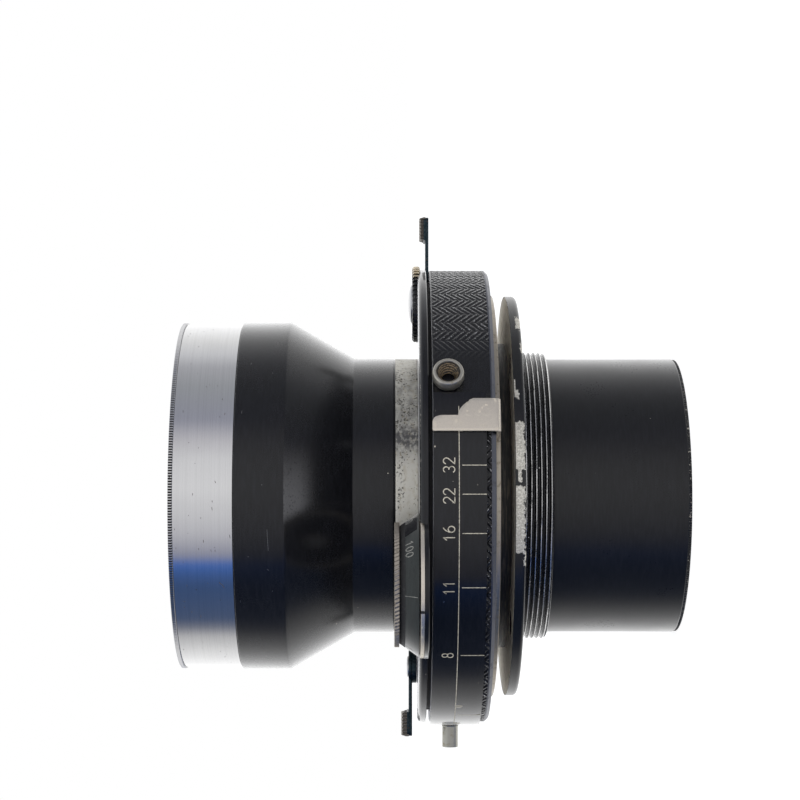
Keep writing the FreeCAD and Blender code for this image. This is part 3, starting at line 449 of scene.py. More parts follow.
def cone_painted_reflection(shader):
    """A painted reflection: a grey patch with dark specks, high on the cone, on the camera's side.
    """
    across, depth, height = shader.axes()
    slanted = shader.plus(across, shader.times(height, 0.54), -0.54 * CONE_TOP * MM)
    return shader.times(
        shader.ramp_mm(across, 12, -2), shader.ramp_mm(slanted, -6.6, -3.6),
        shader.ramp_mm(depth, 0, -20), shader.ramp_mm(height, CONE_TOP - 7.0, CONE_TOP - 2.5),
        shader.ramp_mm(height, CONE_TOP + 0.1, CONE_TOP - 0.1),
        shader.ramp(shader.noise(2.6, 2.0), 0.66, 0.56, 0.35, 1.0))


def turned_metal(name, base, dark, roughness, lines=0.2, marks=0.72):
    """Metal turned on a lathe, with fine rings, small dark nicks and a cloudy surface; where the
    per-point value is high, as in the bezel's knurl notches, it is darker and rougher, a painted
    shade.
    """
    shader = Shader(name, Metallic=1.0)
    rings = shader.lathe_marks()
    clouds = shader.noise(0.16, 4.0)
    nicks_and_notch_shade = shader.ramp(shader.noise((0.95, 0.95, 1.5), 2.0), marks, marks + 0.025)
    # Painted shade: the per-point value darkens the knurl notches of the bezel lip.
    nicks_and_notch_shade = shader.math("MAXIMUM", nicks_and_notch_shade, shader.ramp(shader.wear_and_painted_light(), 0.1, 0.9))
    toned = scaled(base, 0.93)
    colour = shader.mix(shader.ramp(rings, 0.3, 0.7), toned, base)
    colour = shader.mix(shader.ramp(clouds, 0.45, 0.75, 0.0, 0.6), colour, toned)
    shine = shader.plus(shader.ramp(rings, 0.2, 0.8, roughness - 0.02, roughness + 0.03),
                        shader.ramp(nicks_and_notch_shade, 0.0, 1.0, 0.0, 0.3))
    return shader.done((rings, lines, 0.006), Base_Color=shader.mix(nicks_and_notch_shade, colour, dark),
                       Roughness=shine)


def pitted_metal(name):
    """Bare aluminium that has corroded: small dark pits, a dark stain and brown specks."""
    span = Span("front_collar")
    shader = Shader(name)
    across, depth, height = shader.axes()
    small = shader.noise((2.1, 2.1, 2.4), 5.0, 0.62)
    large = shader.noise((0.22, 0.22, 0.5))
    near = shader.ramp_mm(depth, 0.0, -0.5 * span.radius)
    upper = shader.times(shader.ramp_mm(across, 3, 13, 0.0, 0.05), near)
    front = shader.ramp_mm(height, span.z1 - 3.0, span.z1 - 1.2, 0.0, 0.045)
    chance = shader.plus(small, shader.ramp(large, 0.4, 0.65, -0.05, 0.05), upper, front)
    pits = shader.ramp(chance, 0.64, 0.70)
    stain = shader.times(shader.window(across, 9.5, 14.0, 1.2), near,
                         shader.ramp(shader.noise((1.0, 1.0, 1.3), 5.0, 0.65), 0.40, 0.56), 0.85)
    dirt = shader.noise((0.5, 0.5, 0.7), 5.0, 0.6)
    grime = shader.times(shader.window(across, 8.0, 26.0, 3.0), near,
                         shader.ramp(dirt, 0.36, 0.62, 0.25, 0.8))
    brown = shader.ramp(shader.noise((0.7, 0.7, 1.0), 5.0), 0.50, 0.70, 0.0, 0.45)
    specks = shader.ramp(shader.noise(1.6, 2.0), 0.64, 0.68, 0.0, 0.7)
    colour = (0.60, 0.585, 0.53)
    for share, tone in (
        (grime, (0.24, 0.235, 0.22)), (brown, (0.40, 0.35, 0.25)), (specks, (0.20, 0.16, 0.09)),
        (stain, (0.07, 0.07, 0.075)), (pits, (0.06, 0.056, 0.05)),
    ):
        colour = shader.mix(share, colour, tone)
    return shader.done((shader.math("SUBTRACT", small, pits), 0.4, 0.04), Base_Color=colour,
                       Metallic=shader.ramp(pits, 0.0, 1.0, 0.55, 0.1),
                       Roughness=shader.ramp(pits, 0.0, 1.0, 0.44, 0.8))


def plated(name, base, dark, roughness):
    """Old nickel plate: warm, dull, grimy in patches, and darker where the per-point value is high,
    which on the grips is painted shade in the grooves.
    """
    shader = Shader(name)
    fine = shader.noise(4.5)
    grime = shader.ramp(shader.noise(0.7, 5.0, 0.6), 0.52, 0.74, 0.0, 0.8)
    # Patchy grime, and the per-point value, which on the grips is painted shade in the grooves.
    grime_and_groove_shade = shader.math("MAXIMUM", grime, shader.wear_and_painted_light())
    bright = tuple(min(1.0, value) for value in scaled(base, 1.1))
    colour = shader.mix(shader.ramp(fine, 0.3, 0.7), base, bright)
    shine = shader.plus(shader.ramp(grime_and_groove_shade, 0.0, 0.8, roughness, roughness + 0.25),
                        shader.ramp(fine, 0.3, 0.7, 0.0, 0.06))
    return shader.done((fine, 0.2, 0.012), Base_Color=shader.mix(grime_and_groove_shade, colour, dark),
                       Metallic=shader.ramp(grime_and_groove_shade, 0.0, 0.8, 0.95, 0.45), Roughness=shine)


def blued(name):
    """Blued spring steel with rubbed edges and a trace of rust."""
    shader = Shader(name, Metallic=1.0)
    fine = shader.noise(1.8, 4.0)
    colour = shader.mix(shader.ramp(fine, 0.45, 0.7), (0.020, 0.034, 0.042), (0.055, 0.075, 0.085))
    rust = shader.ramp(shader.noise(0.8, 5.0), 0.66, 0.72, 0.0, 0.7)
    return shader.done((fine, 0.15, 0.01), Base_Color=shader.mix(rust, colour, (0.10, 0.045, 0.02)),
                       Roughness=shader.ramp(fine, 0.3, 0.7, 0.28, 0.46))


# Where paint has gone from the flange's edge on the camera's side: from and to along X, and
# from and to in height
FLANGE_CHIPS = (
    (5.3, 14.8, 0.35, 2.15), (2.9, 5.6, 0.9, 1.7), (-11.7, 2.0, 0.35, 2.15),
    (-14.4, -11.4, -0.1, 0.55), (34.8, 37.6, -0.1, 1.1), (29.6, 31.8, -0.1, 0.45),
    (19.8, 21.4, 1.3, 2.1), (21.0, 23.6, 1.9, 2.15),
)


def chipped_flange(name):
    """Black paint on the edge and back of the flange, bare metal on its front and in chips."""
    front = Span("lensboard_flange").z1
    shader = Shader(name)
    across, depth, height = shader.axes()
    ragged = shader.noise(0.9, 6.0, 0.68)
    shift = shader.ramp(ragged, 0.3, 0.7, -0.45 * MM, 0.45 * MM)
    wavy_across = shader.plus(across, shift)
    fade = shader.ramp_mm(height, 0.4, 1.9, 1.0, 0.0)
    wavy_height = shader.plus(height, shader.times(shift, fade))
    chip = shader.ramp(ragged, 0.735, 0.75)
    near_side = shader.ramp_mm(depth, -10, -14)
    for x_low, x_high, z_low, z_high in FLANGE_CHIPS:
        spot = shader.times(shader.window(wavy_across, x_low, x_high, 0.08),
                            shader.window(wavy_height, z_low, z_high, 0.06), near_side)
        chip = shader.math("MAXIMUM", chip, spot)
    front_face = shader.ramp_mm(height, front - 0.06, front - 0.03)
    bare = shader.math("MAXIMUM", chip, front_face)
    fine = shader.noise(3.0, 4.0)
    metal = shader.mix(shader.ramp(fine, 0.35, 0.7), (0.46, 0.44, 0.39), (0.80, 0.78, 0.71))
    grime = shader.ramp(shader.noise(0.5, 5.0), 0.5, 0.7)
    metal = shader.mix(front_face, metal, shader.mix(grime, (1.0, 0.96, 0.85), (0.72, 0.66, 0.54)))
    relief = shader.math("SUBTRACT", fine, shader.times(bare, 2.5))
    return shader.done((relief, 0.4, 0.03),
                       Base_Color=shader.mix(bare, (0.0035, 0.0038, 0.005), metal),
                       Metallic=shader.ramp(bare, 0.0, 1.0, 0.0, 0.75),
                       Roughness=shader.ramp(bare, 0.0, 1.0, 0.22, 0.5))


def grained(name, scale, detail, colours, spread, shine, bump):
    """A material whose colour, gloss and bump follow one noise."""
    shader = Shader(name)
    grain = shader.noise(scale, detail)
    share = shader.ramp(grain, *spread) if spread else grain
    return shader.done((grain, *bump), Base_Color=shader.mix(share, *colours),
                       Roughness=shader.ramp(grain, 0.3, 0.7, *shine))


def paint_fill(name, base):
    """Cream paint rubbed into engraving."""
    return grained(name, 2.4, 4.0, (base, scaled(base, 0.55)), (0.42, 0.66), (0.5, 0.7),
                   (0.2, 0.01))


def moulded(name, base):
    return grained(name, 3.0, 4.0, (scaled(base, 0.7), base), None, (0.45, 0.6), (0.15, 0.01))


def coated_glass(name, tint):
    """Polished glass with a thin coating and a little dust."""
    shader = Shader(name, IOR=1.55, Transmission_Weight=1.0, Coat_Weight=0.6, Coat_Roughness=0.02,
                    Coat_Tint=tint)
    dust = shader.ramp(shader.noise(2.2, 4.0), 0.66, 0.80)
    return shader.done(Base_Color=shader.mix(dust, (0.93, 0.96, 0.95), (0.82, 0.83, 0.80)),
                       Roughness=shader.ramp(dust, 0.0, 1.0, 0.004, 0.16))


BLACK = enamel("black_enamel", roughness=0.09)
# The cone of the barrel has a painted reflection in its colour.
BARREL_BLACK = enamel("barrel_enamel", roughness=0.22, chips=0.82, painted_reflection=cone_painted_reflection)
REAR_BLACK = enamel("rear_enamel", roughness=0.3, chips=0.84)
# Its bare grey on the rib crests is partly wear and partly a painted highlight.
RIM_BLACK = enamel("rim_enamel", bare=(0.40, 0.40, 0.415), roughness=0.24, chips=0.84, bloom=1.0)
THREAD_BLACK = enamel("thread_enamel", bare=(0.88, 0.87, 0.86), roughness=0.24, chips=0.78)
DIAL_BLACK = enamel("dial_enamel", (0.0055, 0.008, 0.008), roughness=0.3, chips=0.84)
WHEEL_BLACK = enamel("wheel_enamel", bare=(0.62, 0.52, 0.36), roughness=0.25)
SOCKET_BRASS = enamel("socket_brass", (0.006, 0.0045, 0.003), (0.27, 0.20, 0.12), 0.35)
SATIN = turned_metal("satin_aluminium", (0.76, 0.76, 0.765), (0.09, 0.085, 0.08), 0.15, marks=0.735)
BRASS = turned_metal("machined_brass", (0.62, 0.44, 0.17), (0.10, 0.06, 0.02), 0.3, lines=0.3)
STEEL = turned_metal("ground_steel", (0.55, 0.55, 0.56), (0.08, 0.07, 0.06), 0.3)
BLADE = turned_metal("blade_steel", (0.055, 0.058, 0.065), (0.02, 0.02, 0.02), 0.38, lines=0.1)
PITTED = pitted_metal("pitted_aluminium")
NICKEL = plated("nickel", (0.44, 0.42, 0.37), (0.13, 0.11, 0.085), 0.36)
STAINED = plated("stained_nickel", (0.40, 0.39, 0.345), (0.24, 0.19, 0.09), 0.34)
POINTER = plated("pointer_nickel", (0.70, 0.645, 0.56), (0.56, 0.50, 0.41), 0.36)
RING_NICKEL = plated("ring_nickel", (0.40, 0.36, 0.30), (0.12, 0.10, 0.07), 0.3)
GRIP_NICKEL = plated("grip_nickel", (0.24, 0.22, 0.19), (0.07, 0.06, 0.05), 0.42)
DIAL_NICKEL = plated("dial_nickel", (0.40, 0.36, 0.31), (0.12, 0.10, 0.08), 0.34)
WORN_EDGE = plated("worn_edge", (0.095, 0.10, 0.12), (0.03, 0.03, 0.035), 0.3)
RUBBED = plated("rubbed_paint", (0.20, 0.20, 0.20), (0.10, 0.10, 0.10), 0.4)
BLUED = blued("blued_steel")
FLANGE = chipped_flange("flange_paint")
# Black paint rubbed brown, inside the gap behind the shutter
GAP_BLACK = grained("gap_black", (0.25, 0.25, 3.5), 4.0,
                    ((0.010, 0.010, 0.010), (0.085, 0.068, 0.045)),
                    (0.50, 0.68, 0.0, 0.85), (0.5, 0.34), (0.2, 0.02))
# Blackened metal with dust, inside the cells
MATT = grained("matt_black", 1.6, 5.0, ((0.006, 0.006, 0.007), (0.035, 0.035, 0.036)),
               (0.5, 0.8), (0.55, 0.72), (0.1, 0.01))
FRONT_GLASS = coated_glass("front_glass", (0.55, 0.45, 0.95))
INNER_GLASS = coated_glass("inner_glass", (0.95, 0.70, 0.40))
FILL = paint_fill("engraving_fill", (0.43, 0.40, 0.33))
FADED_FILL = paint_fill("faded_fill", (0.20, 0.20, 0.185))
SMUDGE = moulded("smudge", (0.075, 0.065, 0.055))
INSULATOR = moulded("insulator", (0.55, 0.50, 0.38))


# --- lines and figures laid on a surface
def arc(x, y, width, height, start, end, steps=14):
    """Points of an elliptical arc, in figure heights."""
    turns = [math.radians(start + (end - start) * step / steps) for step in range(steps + 1)]
    return [(x + width * math.cos(turn), y + height * math.sin(turn)) for turn in turns]


FIGURES = {
    "0": [arc(0.27, 0.5, 0.25, 0.5, 90, 450, 24)],
    "1": [[(0.06, 0.72), (0.27, 1.0), (0.27, 0.0)]],
    "2": [arc(0.27, 0.72, 0.26, 0.28, 165, -35) + [(0.0, 0.0), (0.54, 0.0)]],
    "3": [arc(0.25, 0.75, 0.24, 0.25, 150, -90), arc(0.25, 0.26, 0.27, 0.26, 90, -150)],
    "5": [[(0.50, 1.0), (0.10, 1.0), (0.06, 0.55)] + arc(0.25, 0.31, 0.27, 0.31, 125, -140)],
    "6": [arc(0.27, 0.29, 0.26, 0.29, 90, 450, 20), arc(0.62, 0.29, 0.61, 0.76, 180, 112)],
    "8": [arc(0.27, 0.75, 0.21, 0.25, 0, 360, 20), arc(0.27, 0.26, 0.26, 0.26, 0, 360, 20)],
}
FIGURE_WIDTH = 0.54
ADVANCE = 0.74


def text_strokes(text):
    """Strokes of a number, centred on its width, in figure heights."""
    width = ADVANCE * (len(text) - 1) + FIGURE_WIDTH
    strokes = []
    for index, figure in enumerate(text):
        shift = index * ADVANCE - 0.5 * width
        strokes += [[(x + shift, y) for x, y in stroke] for stroke in FIGURES[figure]]
    return strokes


# Across a raised line: share of its half width, and height over the surface
LINE_SECTION = ((-1, -0.05), (-0.8, 0.02), (0, 0.035), (0.8, 0.02), (1, -0.05))


def ribbon(path, width, place):
    """Points of a thin raised line along a flat path; place(x, y, lift) puts them in space."""
    dense = [Vector(path[0])]
    for start, end in zip(path, path[1:]):
        start, end = Vector(start), Vector(end)
        count = max(1, math.ceil((end - start).length / 0.5))
        dense += [start.lerp(end, step / count) for step in range(1, count + 1)]
    points = []
    for index, spot in enumerate(dense):
        along = (dense[min(len(dense) - 1, index + 1)] - dense[max(0, index - 1)]).normalized()
        side = Vector((-along.y, along.x)) * 0.5 * width
        reach = along * 0.4 * width
        tip = -reach if index == 0 else reach if index == len(dense) - 1 else Vector((0, 0))
        for share, lift in LINE_SECTION:
            shift = side * share + tip * (1 - abs(share))
            points.append(place(spot.x + shift.x, spot.y + shift.y, lift))
    return points


def engraving(name, strokes, width, place, material, slot="black_paint", body=ROOT):
    """One piece from many strokes, each a flat path in millimetres on a surface."""
    points, faces = [], []
    for stroke in strokes:
        more = ribbon(stroke, width, place)
        faces += stacked_faces(len(more) // len(LINE_SECTION), len(LINE_SECTION), len(points))
        points += more
    finish(name, mesh_of(points, faces), material, None, slot, body, 60.0)


def wall(radius):
    """Where strokes go on a wall: x runs along it towards +X, and y is the height."""
    def place(x, y, lift):
        return (*polar(radius + lift, clock(-math.degrees(x / radius))), y)
    return place


def nicks(seed, count, radius, low, high, lengths):
    """Short strokes scattered over a wall, most of them along the turning marks."""
    rng = random.Random(seed)
    strokes = []
    for _ in range(count):
        x = rng.uniform(-math.pi, math.pi) * radius
        y = rng.uniform(low, high)
        slant = rng.gauss(0.0, 0.5)
        length = rng.uniform(*lengths)
        strokes.append([(x, y), (x + length * math.cos(slant), y + 0.3 * length * math.sin(slant))])
    return strokes


# --- front cell
FRONT_SEAT = 33.8


def make_front_barrel():
    span = Span("front_barrel")
    collar = Span("front_collar")
    joint, neck = collar.z1, collar.radius
    band_top = Span("front_bezel_ring").z0
    band = span.radius

    def relief(angle, radius, height):
        edge = np.exp(-((height - CONE_TOP) / 0.22) ** 2) * (radius > band - 0.6)
        return 0 * angle, 0.24 * edge

    turned("front_barrel_shell", [
        (24.0, span.z0), (27.5, span.z0), (27.5, joint), (neck - 0.12, joint),
        (neck - 0.12, joint + 0.25), (neck, joint + 0.35), (neck, NECK_TOP),
        (band, CONE_TOP), (band, band_top - 0.1), (35.6, band_top - 0.1),
        (35.6, span.z1), (FRONT_SEAT, span.z1), (FRONT_SEAT, 53.5), (32.0, 53.5),
        (24.9, 45.0), (24.9, 34.0), (24.0, 34.0),
    ], BARREL_BLACK, "front_barrel", sharp=24.0, segments=288, bevel=0.18, longest=0.6,
        relief=relief)
    scratches = nicks(4, 26, band, CONE_TOP + 0.5, band_top - 0.5, (0.15, 0.7))
    scratches += [[(-7.1, 52.8), (-9.4, 52.7), (-11.6, 52.6)], [(-15.6, 52.9), (-16.0, 52.5)]]
    engraving("band_scratches", scratches, 0.09, wall(band), RUBBED)


def make_bezel():
    span = Span("front_bezel_ring")
    ledge = Span("front_barrel").z1 + 0.1
    lip_bottom = span.z1 - 0.9
    body = span.radius - 0.3
    pitch = 0.75
    teeth = 430

    def thread(angle, radius, height):
        inside = (radius < 36.4) & (height > 67.5) & (height < lip_bottom - 0.3)
        phase = height / pitch + angle / FULL_TURN
        return inside * 0.22 * (0.5 + 0.5 * np.cos(FULL_TURN * phase)) - inside * 0.22, 0 * angle

    def knurl(angle, radius, height):
        rim = radius > span.radius - 0.3
        notch = np.clip(-1.3 * np.cos(teeth * angle), 0, 1)
        # The second value darkens the notches in the material: painted shade.
        return -0.34 * rim * notch, rim * notch

    turned("front_bezel", [
        (35.63, span.z0), (body - 0.1, span.z0), (body, span.z0 + 0.1),
        (body, lip_bottom - 0.01), (36.6, lip_bottom - 0.01), (36.0, lip_bottom - 0.4),
        (36.0, 67.2), (35.0, 67.2), (35.0, ledge), (35.63, ledge),
    ], SATIN, "front_bezel_ring", "satin_aluminium", segments=288, bevel=0.1, longest=0.16,
        relief=thread)
    turned("bezel_knurled_lip", tube_outline(36.6, span.radius, lip_bottom, span.z1), SATIN, None,
           "satin_aluminium", sharp=60.0, segments=teeth * 6, bevel=0.14, longest=0.3, relief=knurl)
    marks = nicks(11, 60, body, span.z0 + 0.4, lip_bottom - 0.3, (0.08, 0.45))
    marks += [[(2.9, 63.5), (2.5, 63.3)], [(-8.2, 60.5), (-8.9, 60.4)],
              [(-2.5, 64.1), (-3.1, 64.0)], [(-9.3, 65.9), (-9.8, 65.85)],
              [(-18.9, 62.8), (-19.4, 62.2), (-20.1, 61.9)]]
    engraving("bezel_nicks", marks, 0.13, wall(body), SMUDGE, "satin_aluminium")


def make_collar():
    span = Span("front_collar")
    face = Span("front_cover").z1
    rng = np.random.default_rng(7)
    waves = [
        (rng.integers(4, 90), rng.uniform(0.3, 4.0), rng.uniform(0, 6.28), rng.uniform(0.2, 1.0))
        for _ in range(26)
    ]

    def pits(angle, radius, height):
        rough = sum(size * np.sin(count * angle + along * height + phase)
                    for count, along, phase, size in waves)
        outside = (radius > 30.0) & (height > face + 0.3) & (height < span.z1 - 0.3)
        return -0.012 * outside * np.clip(rough - 2.4, 0, 4), 0 * angle

    turned("collar", [
        (27.6, span.z0), (29.0, span.z0), (29.0, face), (span.radius, face),
        (span.radius, span.z1 - 0.05), (27.6, span.z1 - 0.05),
    ], PITTED, "front_collar", "bare_aluminium", sharp=40.0, segments=720, bevel=0.1, longest=0.25,
        relief=pits)


def lens_outline(radius, rear, front, rear_curve, front_curve, steps=20):
    """The half section of a glass element, from its vertex heights and signed radii."""
    def sag(curve, reach):
        return math.copysign(abs(curve) - math.sqrt(curve * curve - reach * reach), curve)

    reaches = [radius * step / steps for step in range(steps + 1)]
    return ([(reach, rear + sag(rear_curve, reach)) for reach in reaches]
            + [(reach, front - sag(front_curve, reach)) for reach in reversed(reaches)])


# CAD node, radius, heights of the rear and front vertex, their signed radii, and the glass
LENSES = (
    ("front_crown_element", 33.75, 54.6, 67.0, 142.0, 90.0, FRONT_GLASS),
    ("front_flint_element", 33.75, 52.7, 54.57, 570.0, -142.0, INNER_GLASS),
    ("front_inner_element", 24.85, 37.4, 42.0, -95.0, 60.0, INNER_GLASS),
    ("rear_inner_element", 26.45, -12.9, -9.3, -70.0, 110.0, INNER_GLASS),
    ("rear_outer_element", 26.45, -29.0, -26.0, 160.0, -62.0, FRONT_GLASS),
)


def make_glass():
    for node, radius, rear, front, rear_curve, front_curve, glass in LENSES:
        turned(node + "_glass", lens_outline(radius, rear, front, rear_curve, front_curve), glass,
               node, "coated_glass", segments=160, bevel=0.0)


def make_cell_rings():
    front = Span("front_retaining_ring")
    rear = Span("rear_retaining_ring")
    seat = FRONT_SEAT
    outlines = {
        ("front_retainer", "front_retaining_ring"): [
            (seat - 2.6, front.z0 + 0.7), (seat - 0.9, front.z0), (seat - 0.03, front.z0),
            (seat - 0.03, front.z1), (seat - 1.2, front.z1), (seat - 1.6, front.z1 - 0.4)],
        ("rear_retainer", "rear_retaining_ring"): [
            (24.9, rear.z0 + 0.4), (26.4, rear.z0), (26.47, rear.z1), (24.9, rear.z1)],
    }
    for node in ("front_spacer_ring", "rear_spacer_ring"):
        span = Span(node)
        outlines[node + "_turned", node] = tube_outline(
            span.radius - 1.57, span.radius, span.z0, span.z1)
    for (name, node), outline in outlines.items():
        turned(name, outline, MATT, node, "black_anodised", bevel=0.08)


# --- rear cell and flange
def make_rear_barrel():
    span = Span("rear_barrel")
    shoulder = Span("rear_mount_tube").z0 - 0.05
    teeth = 360

    def milled(angle, radius, height):
        rim = (radius > span.radius - 0.3) & (height < span.z0 + 0.66)
        return -0.1 * rim * (0.5 - 0.5 * np.cos(teeth * angle)), 0.35 * rim

    turned("rear_barrel_shell", [
        (28.6, span.z0), (span.radius - 0.2, span.z0), (span.radius - 0.12, span.z0 + 0.12),
        (span.radius - 0.12, span.z0 + 0.66), (span.radius, span.z0 + 0.8),
        (span.radius, shoulder), (28.2, shoulder), (28.2, span.z1), (24.6, span.z1),
        (24.6, -12.0), (26.5, -12.0), (26.5, span.z0 + 4.0), (27.6, span.z0 + 1.9),
    ], REAR_BLACK, "rear_barrel", sharp=40.0, segments=teeth * 4, bevel=0.1, longest=4.0,
        relief=milled)


def make_mount_tube():
    tube = Span("rear_mount_tube")
    land = Span("lensboard_flange").z1
    ring_rear = Span("aperture_ring").z0
    crest = 31.75
    pitch = 63.5 / 60.0

    def thread(angle, radius, height):
        cut = (radius > crest - 0.5) & (radius < crest + 0.1)
        cut = cut & (height > tube.z0 + 0.2) & (height < -0.02)
        level = np.abs((height / pitch + angle / FULL_TURN) % 1.0 - 0.5) * 2
        depth = np.clip((0.86 - level) / 0.70, 0, 1)
        return -0.55 * cut * depth, cut * np.clip((level - 0.76) * 9, 0, 1)

    turned("mount_tube_threaded", [
        (28.3, tube.z0), (crest - 0.45, tube.z0), (crest, tube.z0 + 0.45), (crest, 0.0),
        (32.0, 0.0), (32.0, land), (33.2, land), (33.2, land + 1.2), (33.6, land + 1.3),
        (33.6, ring_rear - 0.04), (32.9, ring_rear - 0.04), (32.9, tube.z1), (28.3, tube.z1),
    ], THREAD_BLACK, "rear_mount_tube", sharp=40.0, segments=288, bevel=0.06, longest=0.1,
        relief=thread)
    turned("boss_grime", tube_outline(33.55, 33.68, land + 0.05, ring_rear - 0.1), GAP_BLACK,
           segments=224, bevel=0.02)


def make_flange():
    span = Span("lensboard_flange")
    edge = span.radius
    low, high = span.z0, span.z1
    plate = lathe_mesh([
        (32.03, low), (edge - 0.9, low), (edge - 0.5, low + 0.08), (edge - 0.22, low + 0.28),
        (edge - 0.05, low + 0.6), (edge, low + 0.9), (edge, high - 0.12), (edge - 0.12, high),
        (32.03, high),
    ], segments=360, bevel=0.05, longest=3.0)
    hole_circle = 38.0
    sink = [(0, -1), (1.6, -1), (1.6, high - 1.4), (3.05, high + 0.05), (3.05, high + 1),
            (0, high + 1)]
    tools = [lathe_mesh(sink, 48, 0.0, centre=polar(hole_circle, math.radians(angle)))
             for angle in (45.0, 135.0, 225.0, 315.0)]
    finish("flange_plate", cut_by(plate, tools), FLANGE, "lensboard_flange", "chipped_paint")


# --- shutter housing
BAND = 2.75
STRIPE = 1.35


def herringbone(along, height):
    """Height of the chevron ribs, from 0 to 1, at a place on the rim."""
    zigzag = np.abs((along / (2 * BAND)) % 1.0 - 0.5) * 2 * BAND
    rib = 0.5 + 0.5 * np.cos(FULL_TURN * (height - 0.92 * zigzag) / STRIPE)
    seam = np.clip(np.minimum(zigzag, BAND - zigzag) / 0.12, 0.35, 1)
    return np.clip(1.7 * rib - 0.25, 0, 1) * seam


def make_housing():
    span = Span("shutter_housing")
    radius, rear, front = span.radius, span.z0, span.z1

    def ribs(angle, reach, height):
        rim = (reach > radius - 0.2) & (height > rear + 0.8) & (height < front - 0.25)
        turn = (270.0 - np.degrees(angle) + 180.0) % 360.0 - 180.0
        fade = np.clip(np.maximum((-turn - 33.0) / 7.0, (turn + 25.0) / 1.5), 0, 1)
        rib = herringbone(radius * angle, height) * rim * fade
        chamfer = (reach > radius - 0.7) & (height < rear + 0.75)
        # Bare grey metal on the rib crests: partly wear, partly a painted highlight of the glossy
        # ribs.
        return 0.22 * rib - 0.2 * rim, 0.42 * rib ** 3 + 0.1 * chamfer

    turned("housing_rim", [
        (22.6, rear), (radius - 0.75, rear), (radius - 0.05, rear + 0.7),
        (radius - 0.05, front - 0.05), (radius - 0.1, front), (47.6, front),
        (47.6, 10.95), (46.5, 10.95), (46.5, 8.6), (22.6, 8.6),
    ], RIM_BLACK, "shutter_housing", sharp=50.0, segments=1800, bevel=0.06, longest=0.17,
        relief=ribs)
    turned("housing_rear_edge", [
        (radius - 0.74, rear + 0.02), (radius - 0.72, rear - 0.01), (radius - 0.02, rear + 0.69),
        (radius - 0.02, rear + 0.98), (radius - 0.05, rear + 0.98),
    ], WORN_EDGE, segments=288, bevel=0.0)


def on_cylinder(radius, angle, height):
    """Points at radii, clock angles in degrees and heights, which may be arrays."""
    turn = np.radians(270.0 - np.asarray(angle, float))
    flat = np.broadcast_arrays(radius * np.cos(turn), radius * np.sin(turn), height + 0 * turn)
    return np.stack(flat, axis=-1)


PLATE_RADIUS = 50.85
PLATE_START = -24.0
PLATE_END = 78.0


def make_scale_plate():
    span = Span("aperture_scale_plate")
    thick = span.z1 - span.z0
    angles = np.linspace(PLATE_START, PLATE_END, 206)[:, None]
    share = np.linspace(0, 1, 9)[None, :]
    edge = np.minimum(share, 1 - share) * thick
    heights = span.z0 + share * thick + 0 * angles
    outside = on_cylinder(PLATE_RADIUS - 0.12 * (edge < 0.05), angles, heights)
    inside = on_cylinder(49.95, angles, heights)
    finish("scale_plate", closed_slab(inside, outside), BLACK, "aperture_scale_plate", sharp=40.0)


# Clock angles at which the pointer's index edge gives each stop
STOPS = {"32": -6.73, "22": -0.2, "16": 8.63, "11": 21.35, "8": 39.9, "": 66.4}
FIGURE_SHIFT = {"22": -0.37}


def make_scale_engraving():
    line_height = 13.85
    figure_height = 2.28
    figure_foot = 14.75
    strokes = [[(PLATE_RADIUS * math.radians(-angle), line_height)
                for angle in np.arange(-20.5, 77.5, 2.0)]]
    figures = []
    for number, angle in STOPS.items():
        x = PLATE_RADIUS * math.radians(-angle)
        strokes.append([(x, 8.45), (x, 13.2)])
        middle = x + FIGURE_SHIFT.get(number, 0.0)
        figures += [[(middle + px * figure_height, figure_foot + py * figure_height)
                     for px, py in stroke] for stroke in (text_strokes(number) if number else [])]
    engraving("scale_lines", strokes, 0.2, wall(PLATE_RADIUS), FILL)
    engraving("scale_figures", figures, 0.25, wall(PLATE_RADIUS), FILL)


def slotted_head(radius, thick, slot_width, turn):
    """A slightly domed screw head round Z, from height 0 up, with its slot."""
    outline = [(0, 0), (radius, 0), (radius, 0.6 * thick), (0.7 * radius, 0.93 * thick), (0, thick)]
    x, y = 2 * radius, 0.5 * slot_width
    slot = prism_mesh([(-x, -y), (x, -y), (x, y), (-x, y)], 0.55 * thick, thick + 1, 0.01)
    return cut_by(lathe_mesh(outline, 40, 0.06), [moved(slot, Matrix.Rotation(turn, 4, "Z"))])


def pointing(angle, radius, height):
    """Places something built round Z so that it points away from the axis at a clock angle."""
    outward = Vector((*polar(1.0, clock(angle)), 0))
    tilt = Vector((0, 0, 1)).rotation_difference(outward).to_matrix().to_4x4()
    return Matrix.Translation((outward * radius + Vector((0, 0, height))) * MM) @ tilt


def make_scale_screws():
    heads = [moved(slotted_head(0.9, 0.25, 0.26, turn), pointing(angle, 50.68, 13.2))
             for angle, turn in ((60.4, 0.7), (75.0, 2.1))]
    finish("plate_screw_heads", joined(heads), NICKEL, "scale_plate_screws", "nickel_plate")


# --- aperture ring and pointer
def make_aperture_ring():
    span = Span("aperture_ring")
    radius, rear = span.radius, span.z0
    turned("aperture_ring_turned", [
        (33.0, rear), (33.8, rear), (33.8, rear - 0.3), (radius - 0.15, rear - 0.3),
        (radius, rear - 0.15), (radius, span.z1), (33.0, span.z1),
    ], RING_NICKEL, "aperture_ring", "nickel_plate", "aperture_drive", segments=288, bevel=0.06)


